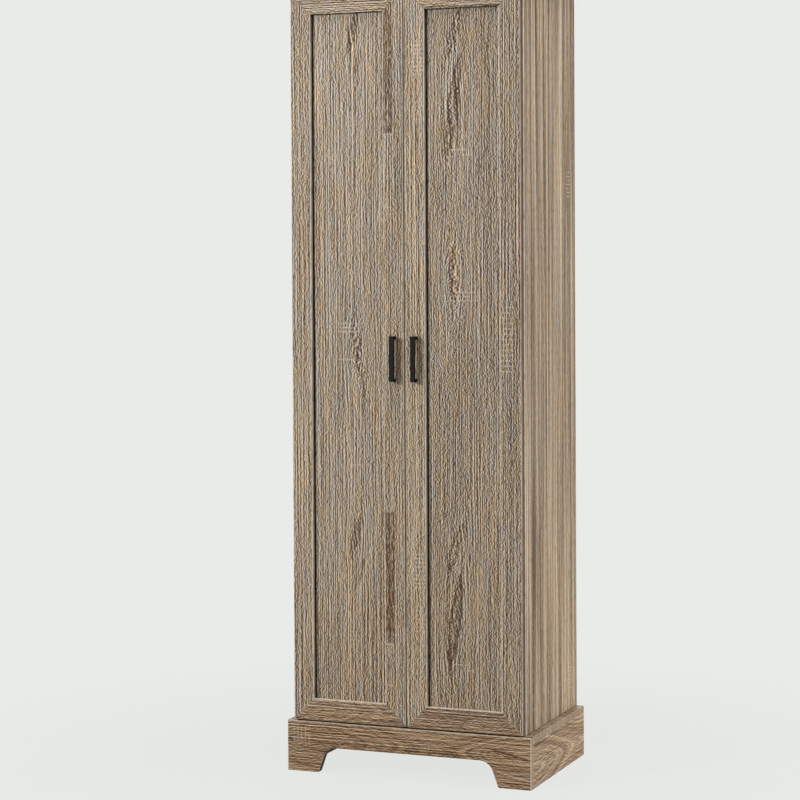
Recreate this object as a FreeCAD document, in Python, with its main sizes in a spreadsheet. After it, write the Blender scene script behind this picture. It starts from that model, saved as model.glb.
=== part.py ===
import FreeCAD, Part
import os
import re
import Sketcher
from FreeCAD import Placement, Rotation, Vector

# A tall two-door cupboard: arched plinth, overhanging top, mitred frame doors on concealed hinges.
# Origin: middle of the footprint at floor level. X runs to the right, Y to the back, Z up.
# The left half is modelled, and what repeats on the right is its mirror image.

doc = FreeCAD.newDocument("Cupboard")
sheet = doc.addObject("Spreadsheet::Sheet", "Dims")

DIMENSIONS = [
    # Whole cupboard
    ("overall_width", 600, "plinth, base board and top board, across"),
    ("overall_depth", 400, "plinth front to the back"),
    ("overall_height", 1830, "floor to the top"),
    # Boards
    ("board", 15, "sides, base board, shelves and partition"),
    ("top_thickness", 18, "top board"),
    ("top_lip", 5, "top board ahead of the door faces"),
    ("plinth_board", 18, "plinth boards"),
    ("plinth_height", 118, "floor to the top of the plinth"),
    ("back_thickness", 3, "back panels"),
    ("back_inset", 1, "back panels inside the sides' outer faces"),
    # Plinth arch
    ("foot_width", 79, "bracket foot along the floor"),
    ("foot_slant", 21, "run of the foot's slanted edge"),
    ("arch_height", 59, "floor to the underside of the arch"),
    ("arch_radius", 34, "rounding between slant and arch"),
    ("foot_rounding", 4, "foot's corner at the floor"),
    # Doors
    ("door_thickness", 18, "door frame"),
    ("door_gap", 2, "door back to the carcass"),
    ("door_bottom_gap", 4, "door above the plinth"),
    ("door_top_gap", 3, "door below the top board"),
    ("door_reveal", 1, "door edge inside the side's outer face"),
    ("meeting_gap", 3, "between the two doors"),
    ("frame_width", 50, "stiles and rails"),
    ("panel_thickness", 5, "door panel"),
    ("panel_recess", 9, "panel behind the frame's face"),
    ("groove_depth", 8, "panel groove in the frame"),
    ("panel_play", 1, "panel edge to the groove's bottom"),
    ("groove_play", 0.1, "panel faces to the groove's walls"),
    ("spline_thickness", 3, "spline across a mitre"),
    ("spline_length", 36, "spline along the mitre"),
    ("spline_width", 22, "spline across the mitre"),
    ("spline_inset", 2, "spline to the door's back"),
    # Handles
    ("handle_length", 104, "over the legs"),
    ("handle_width", 11, "bar and legs, across"),
    ("handle_bar", 7, "bar, front to back"),
    ("handle_leg", 7, "leg, along the bar"),
    ("handle_projection", 18, "bar front to the door face"),
    ("handle_edge", 24.5, "handle to the door's meeting edge"),
    ("handle_rounding", 1, "bar ends"),
    ("handle_thread_depth", 9, "screw hole in a leg"),
    # Inside
    ("hat_space", 332, "clear height between the fixed shelf and the top board"),
    ("shelf_setback", 7, "loose shelves behind the hinge arms"),
    ("shelf_play", 0.7, "loose shelves at their ends and back"),
    ("shelf_count", 3, "loose shelves"),
    ("pin_row_step", 32, "pitch of the pin holes"),
    ("pin_row_inset", 60, "pin rows to the shelf's front and back edges"),
    ("pin_radius", 2.5, "shelf pin in its hole"),
    ("pin_hole_depth", 9, "pin hole in a side panel"),
    ("pin_seat", 7, "square seat of a shelf pin"),
    # Joints of the boards
    ("cam_radius", 7.5, "cam lock"),
    ("cam_depth", 12, "cam lock, along its axis"),
    ("cam_reach", 34, "cam lock to the joint"),
    ("cam_inset", 60, "cam bolts to the board's front and back edges"),
    ("bolt_radius", 3, "cam bolt"),
    ("bolt_anchor", 10, "cam bolt in the drilled board"),
    ("bolt_play", 1, "cam bolt in the bore that leads to its lock"),
    ("dowel_radius", 4, "dowel"),
    ("dowel_anchor", 9, "dowel in the drilled board"),
    ("dowel_reach", 20, "dowel in the jointed board"),
    ("dowel_pitch", 32, "dowel beside a cam bolt"),
    ("fit_play", 0.05, "fasteners and pins in their holes"),
    ("end_play", 0.5, "holes beyond the ends of fasteners"),
    ("corner_block", 30, "plinth corner block, across"),
    ("corner_block_low", 12, "corner block above the floor"),
    ("plinth_screw_radius", 2, "plinth screw"),
    ("plinth_screw_length", 28, "plinth screw, under its head"),
    ("plinth_screw_inset", 25, "plinth screws above the floor and below the bottom"),
    ("nail_radius", 0.8, "back panel nail"),
    ("nail_length", 18, "back panel nail, under its head"),
    ("nail_head_radius", 2, "back panel nail head"),
    ("nail_head", 0.6, "back panel nail head, thick"),
    ("nail_inset", 60, "first nails to the ends of a back panel"),
    ("nails_per_edge", 5, "nails along each edge of a back panel"),
    ("head_radius", 3.5, "screw head"),
    ("head_thickness", 1.5, "screw head"),
    # Wall brackets
    ("bracket_leg", 32, "legs of a wall bracket"),
    ("bracket_width", 24, "wall bracket, across"),
    ("bracket_thickness", 2, "wall bracket"),
    ("bracket_spacing", 360, "between the wall brackets"),
    ("bracket_hole_radius", 3, "hole for the wall screw"),
    ("bracket_hole_drop", 20, "wall screw below the top board"),
    ("bracket_screw_length", 13, "bracket screw, under its head"),
    # Door bumpers
    ("bumper_radius", 2.5, "door bumper"),
    ("bumper_thickness", 1.7, "door bumper"),
    ("bumper_spread", 9, "between the bumpers of a pair"),
    ("bumper_inset", 150, "bumpers to the ends of the partition"),
    # Concealed hinges
    ("hinge_count", 4, "hinges on a door"),
    ("hinge_inset", 100, "first hinges to the door's ends"),
    ("cup_radius", 17.5, "hinge cup"),
    ("cup_depth", 11.5, "hinge cup"),
    ("cup_wall", 1, "hinge cup"),
    ("cup_edge", 22.5, "cup centre to the door's edge"),
    ("cup_flange", 1, "flange on the door's back"),
    ("cup_flange_length", 56, "flange along the stile"),
    ("cup_flange_near", 6, "flange from the cup centre towards the door's edge"),
    ("cup_flange_far", 10, "flange from the cup centre away from the edge"),
    ("cup_screw_offset", 5, "cup screws from the cup centre, away from the edge"),
    ("cup_screw_spacing", 45, "between a cup's screws"),
    ("cup_screw_radius", 1.75, "cup screw"),
    ("cup_screw_length", 12, "cup screw, under its head"),
    ("cup_lug", 2, "lugs in the cup that hold its pin"),
    ("link_pin_radius", 1.5, "pins of the link"),
    ("link_pin_edge", 11, "cup pin to the door's edge"),
    ("link_pin_depth", 3, "cup pin below the door's back"),
    ("link_elbow_edge", 17.2, "link's elbow to the door's edge"),
    ("link_elbow_depth", 7, "link's elbow below the door's back"),
    ("link_eye", 3, "link's eyes"),
    ("link_bar", 3.8, "link's bar, across"),
    ("link_height", 9.4, "link along its pins"),
    ("arm_pin_rise", 17, "arm pin to the side's inner face"),
    ("arm_pin_inset", 3, "arm pin behind the carcass front"),
    ("arm_nose", 3.5, "arm ahead of its pin"),
    ("arm_length", 60, "arm behind its pin"),
    ("arm_below", 6, "arm's open edge to its pin"),
    ("arm_above", 5, "arm's web to its pin"),
    ("arm_wall", 1.5, "arm's sheet"),
    ("arm_play", 0.5, "arm's cheeks to the link"),
    ("plate_start", 18, "hinge plate behind the carcass front"),
    ("plate_length", 38, "hinge plate, front to back"),
    ("plate_width", 16, "hinge plate's foot, along the side"),
    ("plate_tongue", 8, "hinge plate's tongue inside the arm"),
    ("plate_tongue_play", 0.2, "tongue to the arm's cheeks"),
    ("wing_length", 52, "hinge plate's wings, along the side"),
    ("wing_depth", 14, "hinge plate's wings, front to back"),
    ("wing_thickness", 2, "hinge plate's wings"),
    ("plate_screw_line", 37, "plate screws behind the carcass front"),
    ("plate_screw_spacing", 32, "between a plate's screws"),
    ("hinge_screw_radius", 2, "plate and arm screws"),
    ("plate_screw_length", 12, "plate screw, under its head"),
    ("arm_screw_length", 14, "arm screw, under its head"),
]

for row, (alias, size, note) in enumerate(DIMENSIONS, start=1):
    sheet.set(f"A{row}", alias)
    sheet.set(f"B{row}", str(size))
    sheet.setAlias(f"B{row}", alias)
    sheet.set(f"C{row}", note)
doc.recompute()

ALIASES = {alias for alias, size, note in DIMENSIONS}
TURN = {
    "x": Rotation(Vector(0, 1, 0), 90),
    "y": Rotation(Vector(1, 0, 0), -90),
    "z": Rotation(),
}
NEAR = 0.01  # edges this close to a level lie on it
nodes = []


def bound(text):
    # an expression in aliases, as the document writes it
    return re.sub(r"[a-z_]+", lambda m: f"Dims.{m[0]}" if m[0] in ALIASES else m[0], text)


def count(alias):
    return int(sheet.get(alias))


def value(text):
    return float(sheet.evalExpression(bound(text)))


def bind(item, **sizes):
    for name, text in sizes.items():
        item.setExpression(name, bound(text))


def put(item, x, y, z):
    for axis, text in zip("xyz", (x, y, z)):
        item.setExpression(f"Placement.Base.{axis}", bound(text))


def node(item):
    nodes.append(item)
    return item


def block(name, low, size):
    box = doc.addObject("Part::Box", name)
    bind(box, Length=size[0], Width=size[1], Height=size[2])
    put(box, *low)
    return box


def rod(name, axis, start, radius, length):
    # a cylinder that runs from its start along +axis
    cylinder = doc.addObject("Part::Cylinder", name)
    cylinder.Placement = Placement(Vector(), TURN[axis])
    bind(cylinder, Radius=radius, Height=length)
    put(cylinder, *start)
    return cylinder


def bar(name, start, end, width, low, height):
    # an upright plate from one point of the plan to another
    run = f"({end[0]} - {start[0]})"
    rise = f"({end[1]} - {start[1]})"
    angle = f"atan2({rise}; {run})"
    box = doc.addObject("Part::Box", name)
    box.Placement = Placement(Vector(), Rotation(Vector(0, 0, 1), 30))
    bind(box, Length=f"sqrt({run}^2 + {rise}^2)", Width=width, Height=height)
    box.setExpression("Placement.Rotation.Angle", bound(angle))
    put(box, f"{start[0]} + {width} / 2 * sin({angle})", f"{start[1]} - {width} / 2 * cos({angle})", low)
    return box


def together(name, solids):
    compound = doc.addObject("Part::Compound", name)
    compound.Links = solids
    return compound


def fused(name, solids):
    union = doc.addObject("Part::MultiFuse", name)
    union.Shapes = solids
    return union


def cut(name, base, tools):
    result = doc.addObject("Part::Cut", name)
    result.Base = base
    result.Tool = tools[0] if len(tools) == 1 else together(f"{name}_cutters", tools)
    return result


def mirrored(name, source):
    image = doc.addObject("Part::Mirroring", name)
    image.Source = source
    image.Normal = Vector(1, 0, 0)
    return image


def both(item):
    # a left-hand node and its mirror image on the right
    node(item)
    return node(mirrored(item.Name.replace("left", "right"), item))


def profile(name, role, points, depth):
    # a body padded from a closed outline on one of its own planes
    body = doc.addObject("PartDesign::Body", name)
    sketch = body.newObject("Sketcher::SketchObject", f"{name}_outline")
    plane = next(item for item in body.Origin.OriginFeatures if item.Role == role)
    sketch.AttachmentSupport = (plane, [""])
    sketch.MapMode = "FlatFace"
    places = [Vector(value(u), value(v), 0) for u, v in points]
    for start, end in zip(places, places[1:] + places[:1]):
        sketch.addGeometry(Part.LineSegment(start, end), False)
    for i in range(len(points)):
        sketch.addConstraint(Sketcher.Constraint("Coincident", i, 2, (i + 1) % len(points), 1))
    for i, point in enumerate(points):
        for kind, text in zip(("DistanceX", "DistanceY"), point):
            index = sketch.addConstraint(Sketcher.Constraint(kind, -1, 1, i, 1, value(text)))
            sketch.setExpression(f"Constraints[{index}]", bound(text))
    pad = body.newObject("PartDesign::Pad", f"{name}_pad")
    pad.Profile = sketch
    bind(pad, Length=depth)
    body.Tip = pad
    return body


def rounded(body, tag, chosen, radius):
    # fillets the edges of a body that a test picks out
    doc.recompute()
    base = body.Tip
    edges = [f"Edge{i}" for i, edge in enumerate(base.Shape.Edges, start=1) if chosen(edge)]
    fillet = body.newObject("PartDesign::Fillet", f"{body.Name}_{tag}")
    fillet.Base = (base, edges)
    bind(fillet, Radius=radius)
    body.Tip = fillet
    return body


# Main planes, as expressions: across from the middle, front to back, and up
side_face = "(overall_width / 2 - plinth_board)"
side_inner = f"({side_face} - board)"
door_outer = f"({side_face} - door_reveal)"
handle_reach = "(door_thickness + door_gap - plinth_board + handle_projection)"
back_y = f"((overall_depth + {handle_reach}) / 2)"
inner_back_y = f"({back_y} - back_thickness)"
plinth_y = f"({back_y} - overall_depth)"
front_y = f"({plinth_y} + plinth_board)"
door_back_y = f"({front_y} - door_gap)"
door_face_y = f"({door_back_y} - door_thickness)"
carcass_depth = f"({inner_back_y} - {front_y})"
top_z = "(overall_height - top_thickness)"
bottom_z = "(plinth_height - board)"
hat_z = f"({top_z} - hat_space - board)"
hat_middle = f"({hat_z} + board / 2)"
door_low = "(plinth_height + door_bottom_gap)"
door_high = f"({top_z} - door_top_gap)"
door_width = f"({door_outer} - meeting_gap / 2)"
door_height = f"({door_high} - {door_low})"
bay_height = f"({hat_z} - plinth_height)"
shelf_space = f"(({bay_height} - shelf_count * board) / (shelf_count + 1))"
shelf_front_y = f"({front_y} + arm_pin_inset + arm_length + shelf_setback)"
shelf_back_y = f"({inner_back_y} - shelf_play)"

shelves = range(count("shelf_count"))


def shelf_z(level):
    # underside of a loose shelf
    return f"(plinth_height + {shelf_space} * {level + 1} + board * {level})"


def hinge_z(station):
    return f"({door_low} + hinge_inset + {station} * ({door_height} - 2 * hinge_inset) / (hinge_count - 1))"


stations = range(count("hinge_count"))
cam_lines = [f"({front_y} + cam_inset)", f"({inner_back_y} - cam_inset)"]
dowel_lines = [f"({front_y} + cam_inset + dowel_pitch)", f"({inner_back_y} - cam_inset - dowel_pitch)"]
pin_lines = [f"({shelf_front_y} + pin_row_inset)", f"({shelf_back_y} - pin_row_inset)"]

# Fasteners of the left half, and the holes that they need
cam_bolts = []
cam_locks = []
dowels = []
side_holes = []
top_holes = []
bottom_holes = []
hat_holes = []
rail_holes = []
plinth_side_holes = []


bolt_way = "(bolt_radius + bolt_play)"


def shelf_joint(tag, underside, holes):
    # cam bolts and dowels between a side panel and the end of a level board
    middle = f"({underside} + board / 2)"
    lock_x = f"(-{side_inner} + cam_reach)"
    for i, y in enumerate(cam_lines):
        start = f"-{side_inner} - bolt_anchor"
        cam_bolts.append(rod(f"{tag}_bolt_{i}", "x", (start, y, middle),
                             "bolt_radius", "bolt_anchor + cam_reach"))
        side_holes.append(rod(f"{tag}_bolt_hole_{i}", "x", (f"{start} - end_play", y, middle),
                              "bolt_radius + fit_play", "bolt_anchor + end_play"))
        holes.append(rod(f"{tag}_bolt_bore_{i}", "x", (f"-{side_inner}", y, middle),
                         bolt_way, "cam_reach"))
        holes.append(rod(f"{tag}_lock_bore_{i}", "z", (lock_x, y, underside),
                         "cam_radius + fit_play", "cam_depth + end_play"))
        disc = rod(f"{tag}_disc_{i}", "z", (lock_x, y, underside), "cam_radius", "cam_depth")
        slot = block(f"{tag}_slot_{i}", (f"{lock_x} - cam_radius", f"{y} - {bolt_way}", underside),
                     ("cam_radius + bolt_play", f"2 * {bolt_way}", f"board / 2 + {bolt_way}"))
        cam_locks.append(cut(f"{tag}_lock_{i}", disc, [slot]))
    dowel_joint(tag, side_inner, dowel_lines, middle, side_holes, holes)


def dowel_joint(tag, wall, lines, z, wall_holes, holes):
    # dowels from an upright wall into the end of a board
    for i, y in enumerate(lines):
        start = f"-{wall} - dowel_anchor"
        dowels.append(rod(f"{tag}_dowel_{i}", "x", (start, y, z), "dowel_radius", "dowel_anchor + dowel_reach"))
        wall_holes.append(rod(f"{tag}_dowel_hole_{i}", "x", (f"{start} - end_play", y, z),
                              "dowel_radius + fit_play", "dowel_anchor + end_play"))
        holes.append(rod(f"{tag}_dowel_bore_{i}", "x", (f"-{wall}", y, z),
                         "dowel_radius + fit_play", "dowel_reach + end_play"))


def end_dowel(name, x, y, z, way, below, above):
    # an upright dowel through a level joint: way is the sign of the side that its longer part is on
    reaches = ("dowel_anchor", "dowel_reach") if way > 0 else ("dowel_reach", "dowel_anchor")
    dowels.append(rod(name, "z", (x, y, f"{z} - {reaches[0]}"), "dowel_radius", f"{reaches[0]} + {reaches[1]}"))
    below.append(rod(f"{name}_lower_hole", "z", (x, y, f"{z} - {reaches[0]} - end_play"),
                     "dowel_radius + fit_play", f"{reaches[0]} + end_play"))
    above.append(rod(f"{name}_upper_hole", "z", (x, y, z),
                     "dowel_radius + fit_play", f"{reaches[1]} + end_play"))


def end_joint(tag, level, way, holes):
    # cam bolts and dowels between a level board and the end of a side panel: way is the side's sign
    middle_x = f"(-{side_face} + board / 2)"
    lock_z = f"({level} + {way} * cam_reach)"
    low = f"-{side_inner} - cam_depth"
    for i, y in enumerate(cam_lines):
        bolt_z = f"{level} - bolt_anchor" if way > 0 else lock_z
        hole_z = f"{level} - bolt_anchor - end_play" if way > 0 else level
        cam_bolts.append(rod(f"{tag}_bolt_{i}", "z", (middle_x, y, bolt_z),
                             "bolt_radius", "cam_reach + bolt_anchor"))
        holes.append(rod(f"{tag}_bolt_hole_{i}", "z", (middle_x, y, hole_z),
                         "bolt_radius + fit_play", "bolt_anchor + end_play"))
        side_holes.append(rod(f"{tag}_bolt_bore_{i}", "z", (middle_x, y, level if way > 0 else lock_z),
                              bolt_way, "cam_reach"))
        side_holes.append(rod(f"{tag}_lock_bore_{i}", "x", (f"{low} - end_play", y, lock_z),
                              "cam_radius + fit_play", "cam_depth + end_play"))
        disc = rod(f"{tag}_disc_{i}", "x", (low, y, lock_z), "cam_radius", "cam_depth")
        slot_z = f"{lock_z} - cam_radius" if way > 0 else f"{lock_z} - bolt_play"
        slot = block(f"{tag}_slot_{i}", (f"{middle_x} - {bolt_way}", f"{y} - {bolt_way}", slot_z),
                     (f"board / 2 + {bolt_way}", f"2 * {bolt_way}", "cam_radius + bolt_play"))
        cam_locks.append(cut(f"{tag}_lock_{i}", disc, [slot]))
    below, above = (holes, side_holes) if way > 0 else (side_holes, holes)
    for i, y in enumerate(dowel_lines):
        end_dowel(f"{tag}_dowel_{i}", middle_x, y, level, way, below, above)


end_joint("bottom", "plinth_height", 1, bottom_holes)
shelf_joint("hat", hat_z, hat_holes)
end_joint("top", top_z, -1, top_holes)
rail_y = f"({inner_back_y} - board)"
for level in (1, 3):
    dowel_joint(f"rail_{level}", side_face, [f"({rail_y} + board / 2)"], f"({bottom_z} * {level} / 4)",
                plinth_side_holes, rail_holes)
for i, y in enumerate(cam_lines):
    end_dowel(f"plinth_dowel_{i}", "(-overall_width / 2 + plinth_board / 2)", y, bottom_z, -1,
              plinth_side_holes, bottom_holes)

# Rows of pin holes for the loose shelves, in the sides and right through the partition
partition_holes = []
for level in shelves:
    for step in (-1, 0, 1):
        for i, y in enumerate(pin_lines):
            z = f"({shelf_z(level)} - pin_seat / 2 + {step} * pin_row_step)"
            tag = f"pin_hole_{level}_{step + 1}_{i}"
            side_holes.append(rod(f"side_{tag}", "x", (f"-{side_inner} - pin_hole_depth", y, z),
                                  "pin_radius + fit_play", "pin_hole_depth"))
            partition_holes.append(rod(f"partition_{tag}", "x", ("-board / 2", y, z),
                                       "pin_radius + fit_play", "board"))

# Hinges of the left door
link_pin = (f"(-{door_outer} + link_pin_edge)", f"({door_back_y} - link_pin_depth)")
link_elbow = (f"(-{door_outer} + link_elbow_edge)", f"({door_back_y} - link_elbow_depth)")
arm_pin = (f"(-{side_inner} + arm_pin_rise)", f"({front_y} + arm_pin_inset)")
cup_x = f"(-{door_outer} + cup_edge)"
arm_low = f"({arm_pin[0]} - arm_below)"
arm_rise = "(arm_below + arm_above)"
arm_top = f"({arm_pin[0]} + arm_above)"
cheek_inner = "(link_height / 2 + arm_play)"
cheek_outer = f"({cheek_inner} + arm_wall)"
arm_front_y = f"({arm_pin[1]} - arm_nose)"
tongue_half = f"({cheek_inner} - plate_tongue_play)"
arm_screw_y = f"({front_y} + plate_screw_line)"
cup_screw_x = f"({cup_x} + cup_screw_offset)"
cup_pin_half = f"({cheek_inner} + cup_lug)"
hinges = {piece: [] for piece in ("plates", "plate_screws", "arms", "arm_screws", "arm_pins",
                                  "links", "cups", "cup_pins", "cup_screws")}
stile_holes = []


def shifted(place, axis, text):
    # a place moved along one axis
    return [f"{part} + {text}" if name == axis else part for name, part in zip("xyz", place)]


def screw(name, axis, seat, way, radius, length):
    # a headed screw: the seat is under its head, and way is the sign of the shank's direction
    shank_at = seat if way > 0 else shifted(seat, axis, f"-({length})")
    head_at = seat if way < 0 else shifted(seat, axis, "-head_thickness")
    shank = rod(f"{name}_shank", axis, shank_at, radius, length)
    head = rod(f"{name}_head", axis, head_at, "head_radius", "head_thickness")
    return fused(name, [shank, head])


def screw_hole(name, axis, seat, way, radius, length):
    start = seat if way > 0 else shifted(seat, axis, f"-({length} + end_play)")
    return rod(name, axis, start, f"{radius} + fit_play", f"{length} + end_play")


def hinge(station):
    z = hinge_z(station)
    tag = f"hinge_{station}"
    # plate: wings and foot on the side panel, tongue inside the arm
    wing_x = f"-{side_inner}"
    foot_height = "arm_pin_rise - arm_below"
    wings = block(f"{tag}_wings", (wing_x, f"{arm_screw_y} - wing_depth / 2", f"{z} - wing_length / 2"),
                  ("wing_thickness", "wing_depth", "wing_length"))
    foot = block(f"{tag}_foot", (wing_x, f"{front_y} + plate_start", f"{z} - plate_width / 2"),
                 (foot_height, "plate_length", "plate_width"))
    tongue = block(f"{tag}_tongue", (arm_low, f"{front_y} + plate_start", f"{z} - {tongue_half}"),
                   ("plate_tongue", "plate_length", f"2 * {tongue_half}"))
    arm_seat = (arm_top, arm_screw_y, z)
    arm_screw = ("hinge_screw_radius", "arm_screw_length")
    plate_screw = ("hinge_screw_radius", "plate_screw_length")
    cup_screw = ("cup_screw_radius", "cup_screw_length")
    plate_cuts = [screw_hole(f"{tag}_arm_screw_hole", "x", arm_seat, -1, *arm_screw)]
    for end in (-1, 1):
        seat = (f"-{side_inner} + wing_thickness", arm_screw_y, f"{z} + {end} * plate_screw_spacing / 2")
        name = f"{tag}_plate_screw_{end + 1}"
        hinges["plate_screws"].append(screw(name, "x", seat, -1, *plate_screw))
        plate_cuts.append(screw_hole(f"{name}_hole", "x", seat, -1, *plate_screw))
        side_holes.append(screw_hole(f"{name}_bore", "x", seat, -1, *plate_screw))
    hinges["plates"].append(cut(f"{tag}_plate", fused(f"{tag}_plate_blank", [wings, foot, tongue]), plate_cuts))
    # arm: a channel that opens towards the side panel, with the arm pin through its cheeks
    channel = block(f"{tag}_channel", (arm_low, arm_front_y, f"{z} - {cheek_outer}"),
                    (arm_rise, "arm_nose + arm_length", f"2 * {cheek_outer}"))
    hollow = block(f"{tag}_hollow",
                   (f"{arm_low} - arm_wall", f"{arm_front_y} - arm_wall", f"{z} - {cheek_inner}"),
                   (arm_rise, "arm_nose + arm_length + 2 * arm_wall", f"2 * {cheek_inner}"))
    pin_hole = rod(f"{tag}_arm_pin_hole", "z", (*arm_pin, f"{z} - {cheek_outer}"),
                   "link_pin_radius + fit_play", f"2 * {cheek_outer}")
    web_hole = screw_hole(f"{tag}_web_hole", "x", arm_seat, -1, "hinge_screw_radius", "arm_wall")
    hinges["arms"].append(cut(f"{tag}_arm", channel, [hollow, pin_hole, web_hole]))
    hinges["arm_screws"].append(screw(f"{tag}_arm_screw", "x", arm_seat, -1, *arm_screw))
    hinges["arm_pins"].append(rod(f"{tag}_arm_pin", "z", (*arm_pin, f"{z} - {cheek_outer}"),
                                  "link_pin_radius", f"2 * {cheek_outer}"))
    # link: a cranked bar with an eye on each pin
    low = f"{z} - link_height / 2"
    bars = [
        rod(f"{tag}_arm_eye", "z", (*arm_pin, low), "link_eye", "link_height"),
        rod(f"{tag}_elbow", "z", (*link_elbow, low), "link_bar / 2", "link_height"),
        rod(f"{tag}_cup_eye", "z", (*link_pin, low), "link_eye", "link_height"),
        bar(f"{tag}_long_bar", link_elbow, arm_pin, "link_bar", low, "link_height"),
        bar(f"{tag}_short_bar", link_pin, link_elbow, "link_bar", low, "link_height"),
    ]
    eyes = [rod(f"{tag}_eye_bore_{i}", "z", (*place, low), "link_pin_radius + fit_play", "link_height")
            for i, place in enumerate((arm_pin, link_pin))]
    hinges["links"].append(cut(f"{tag}_link", fused(f"{tag}_link_blank", bars), eyes))
    # cup: let into the stile, with a flange on the door's back and the cup pin across it
    cup_low_y = f"{door_back_y} - cup_depth"
    shell = rod(f"{tag}_shell", "y", (cup_x, cup_low_y, z), "cup_radius", "cup_depth")
    flange = block(f"{tag}_flange",
                   (f"{cup_x} - cup_flange_near", door_back_y, f"{z} - cup_flange_length / 2"),
                   ("cup_flange_near + cup_flange_far", "cup_flange", "cup_flange_length"))
    inside = rod(f"{tag}_inside", "y", (cup_x, f"{cup_low_y} + cup_wall", z),
                 "cup_radius - cup_wall", "cup_depth + cup_flange")
    cup_pin_low = (*link_pin, f"{z} - {cup_pin_half}")
    cup_cuts = [rod(f"{tag}_cup_pin_hole", "z", cup_pin_low,
                    "link_pin_radius + fit_play", f"2 * {cup_pin_half}")]
    open_cup = cut(f"{tag}_open_cup", fused(f"{tag}_cup_blank", [shell, flange]), [inside])
    lug_size = ("cup_radius - cup_edge + link_pin_edge + link_eye", "cup_depth", "cup_lug")
    cheeks = [block(f"{tag}_cheek_{i}", (f"{cup_x} - cup_radius", cup_low_y, lug_low), lug_size)
              for i, lug_low in enumerate((f"{z} - {cup_pin_half}", f"{z} + {cheek_inner}"))]
    lugs = doc.addObject("Part::Common", f"{tag}_lugs")
    lugs.Base = rod(f"{tag}_lug_limit", "y", (cup_x, cup_low_y, z), "cup_radius", "cup_depth")
    lugs.Tool = together(f"{tag}_cheeks", cheeks)
    for end in (-1, 1):
        seat = (cup_screw_x, f"{door_back_y} + cup_flange", f"{z} + {end} * cup_screw_spacing / 2")
        name = f"{tag}_cup_screw_{end + 1}"
        hinges["cup_screws"].append(screw(name, "y", seat, -1, *cup_screw))
        cup_cuts.append(screw_hole(f"{name}_hole", "y", seat, -1, *cup_screw))
        stile_holes.append(screw_hole(f"{name}_bore", "y", seat, -1, *cup_screw))
    hinges["cups"].append(cut(f"{tag}_cup", fused(f"{tag}_lugged_cup", [open_cup, lugs]), cup_cuts))
    hinges["cup_pins"].append(rod(f"{tag}_cup_pin", "z", cup_pin_low, "link_pin_radius", f"2 * {cup_pin_half}"))
    stile_holes.append(rod(f"{tag}_cup_bore", "y", (cup_x, f"{cup_low_y} - fit_play", z),
                           "cup_radius + fit_play", "cup_depth + fit_play"))


for station in stations:
    hinge(station)
for piece, solids in hinges.items():
    both(together(f"left_hinge_{piece}", solids))

# Plinth: arched front board over the full width; side boards, rear rail and corner blocks carry the base board
foot = [("-overall_width / 2", "0"), ("-overall_width / 2 + foot_width", "0"),
        ("-overall_width / 2 + foot_width + foot_slant", "arch_height")]
mirror_foot = [(f"-({u})", v) for u, v in reversed(foot)]
top_edge = [("overall_width / 2", "plinth_height"), ("-overall_width / 2", "plinth_height")]
plinth_front = profile("plinth_front_board", "XZ_Plane", foot + mirror_foot + top_edge, "plinth_board")
put(plinth_front, "0", front_y, "0")
arch_level = value("arch_height")
foot_end = value("overall_width / 2 - foot_width")


def runs_through(edge):
    # an edge that runs from the front to the back of the board
    start, end = edge.Vertexes[0].Point, edge.Vertexes[-1].Point
    return abs(start.y - end.y) > abs(start.z - end.z) + abs(start.x - end.x)


def arch_corner(edge):
    return runs_through(edge) and abs(edge.Vertexes[0].Z - arch_level) < NEAR


def foot_corner(edge):
    place = edge.Vertexes[0]
    return runs_through(edge) and abs(place.Z) < NEAR and abs(abs(place.X) - foot_end) < NEAR


rounded(plinth_front, "arch", arch_corner, "arch_radius")
rounded(plinth_front, "feet", foot_corner, "foot_rounding")
front_holes = []
block_holes = []
plinth_screws = []
plinth_levels = ["(plinth_screw_inset)", f"({bottom_z} - plinth_screw_inset)"]
block_size = ("corner_block", "corner_block", f"{bottom_z} - corner_block_low")
block_at = (f"-{side_face}", front_y, "corner_block_low")
block_hole = ("plinth_screw_radius", "plinth_screw_length + corner_block - plinth_board")
for i, z in enumerate(plinth_levels):
    seat = (f"-{side_face} + corner_block / 2", f"{front_y} + corner_block", z)
    plinth_screws.append(screw(f"front_screw_{i}", "y", seat, -1, *block_hole))
    block_holes.append(screw_hole(f"front_screw_hole_{i}", "y", seat, -1, *block_hole))
    front_holes.append(screw_hole(f"front_screw_bore_{i}", "y", seat, -1, *block_hole))
seat = (f"-{side_face} + corner_block", f"{front_y} + corner_block / 2", f"({bottom_z} / 2)")
plinth_screws.append(screw("side_screw", "x", seat, -1, *block_hole))
block_holes.append(screw_hole("side_screw_hole", "x", seat, -1, *block_hole))
plinth_side_holes.append(screw_hole("side_screw_bore", "x", seat, -1, *block_hole))
plinth_bores = together("left_plinth_bores", front_holes)
node(cut("plinth_front", plinth_front, [plinth_bores, mirrored("right_plinth_bores", plinth_bores)]))
plinth_side = block("left_plinth_side_board", ("-overall_width / 2", front_y, "0"),
                    ("plinth_board", carcass_depth, bottom_z))
both(cut("plinth_side_left", plinth_side, plinth_side_holes))
corner_block = cut("left_corner_block", block("left_corner_blank", block_at, block_size), block_holes)
node(together("plinth_corner_blocks", [corner_block, mirrored("right_corner_block", corner_block)]))
left_screws = together("left_plinth_screws", plinth_screws)
node(together("plinth_screws", [left_screws, mirrored("right_plinth_screws", left_screws)]))


def spanned(name, blank, holes, more=()):
    # a board that runs from side to side: its holes are cut at the left and mirrored to the right
    left = together(f"left_{name}_holes", holes)
    return node(cut(name, blank, [left, mirrored(f"right_{name}_holes", left), *more]))


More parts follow.
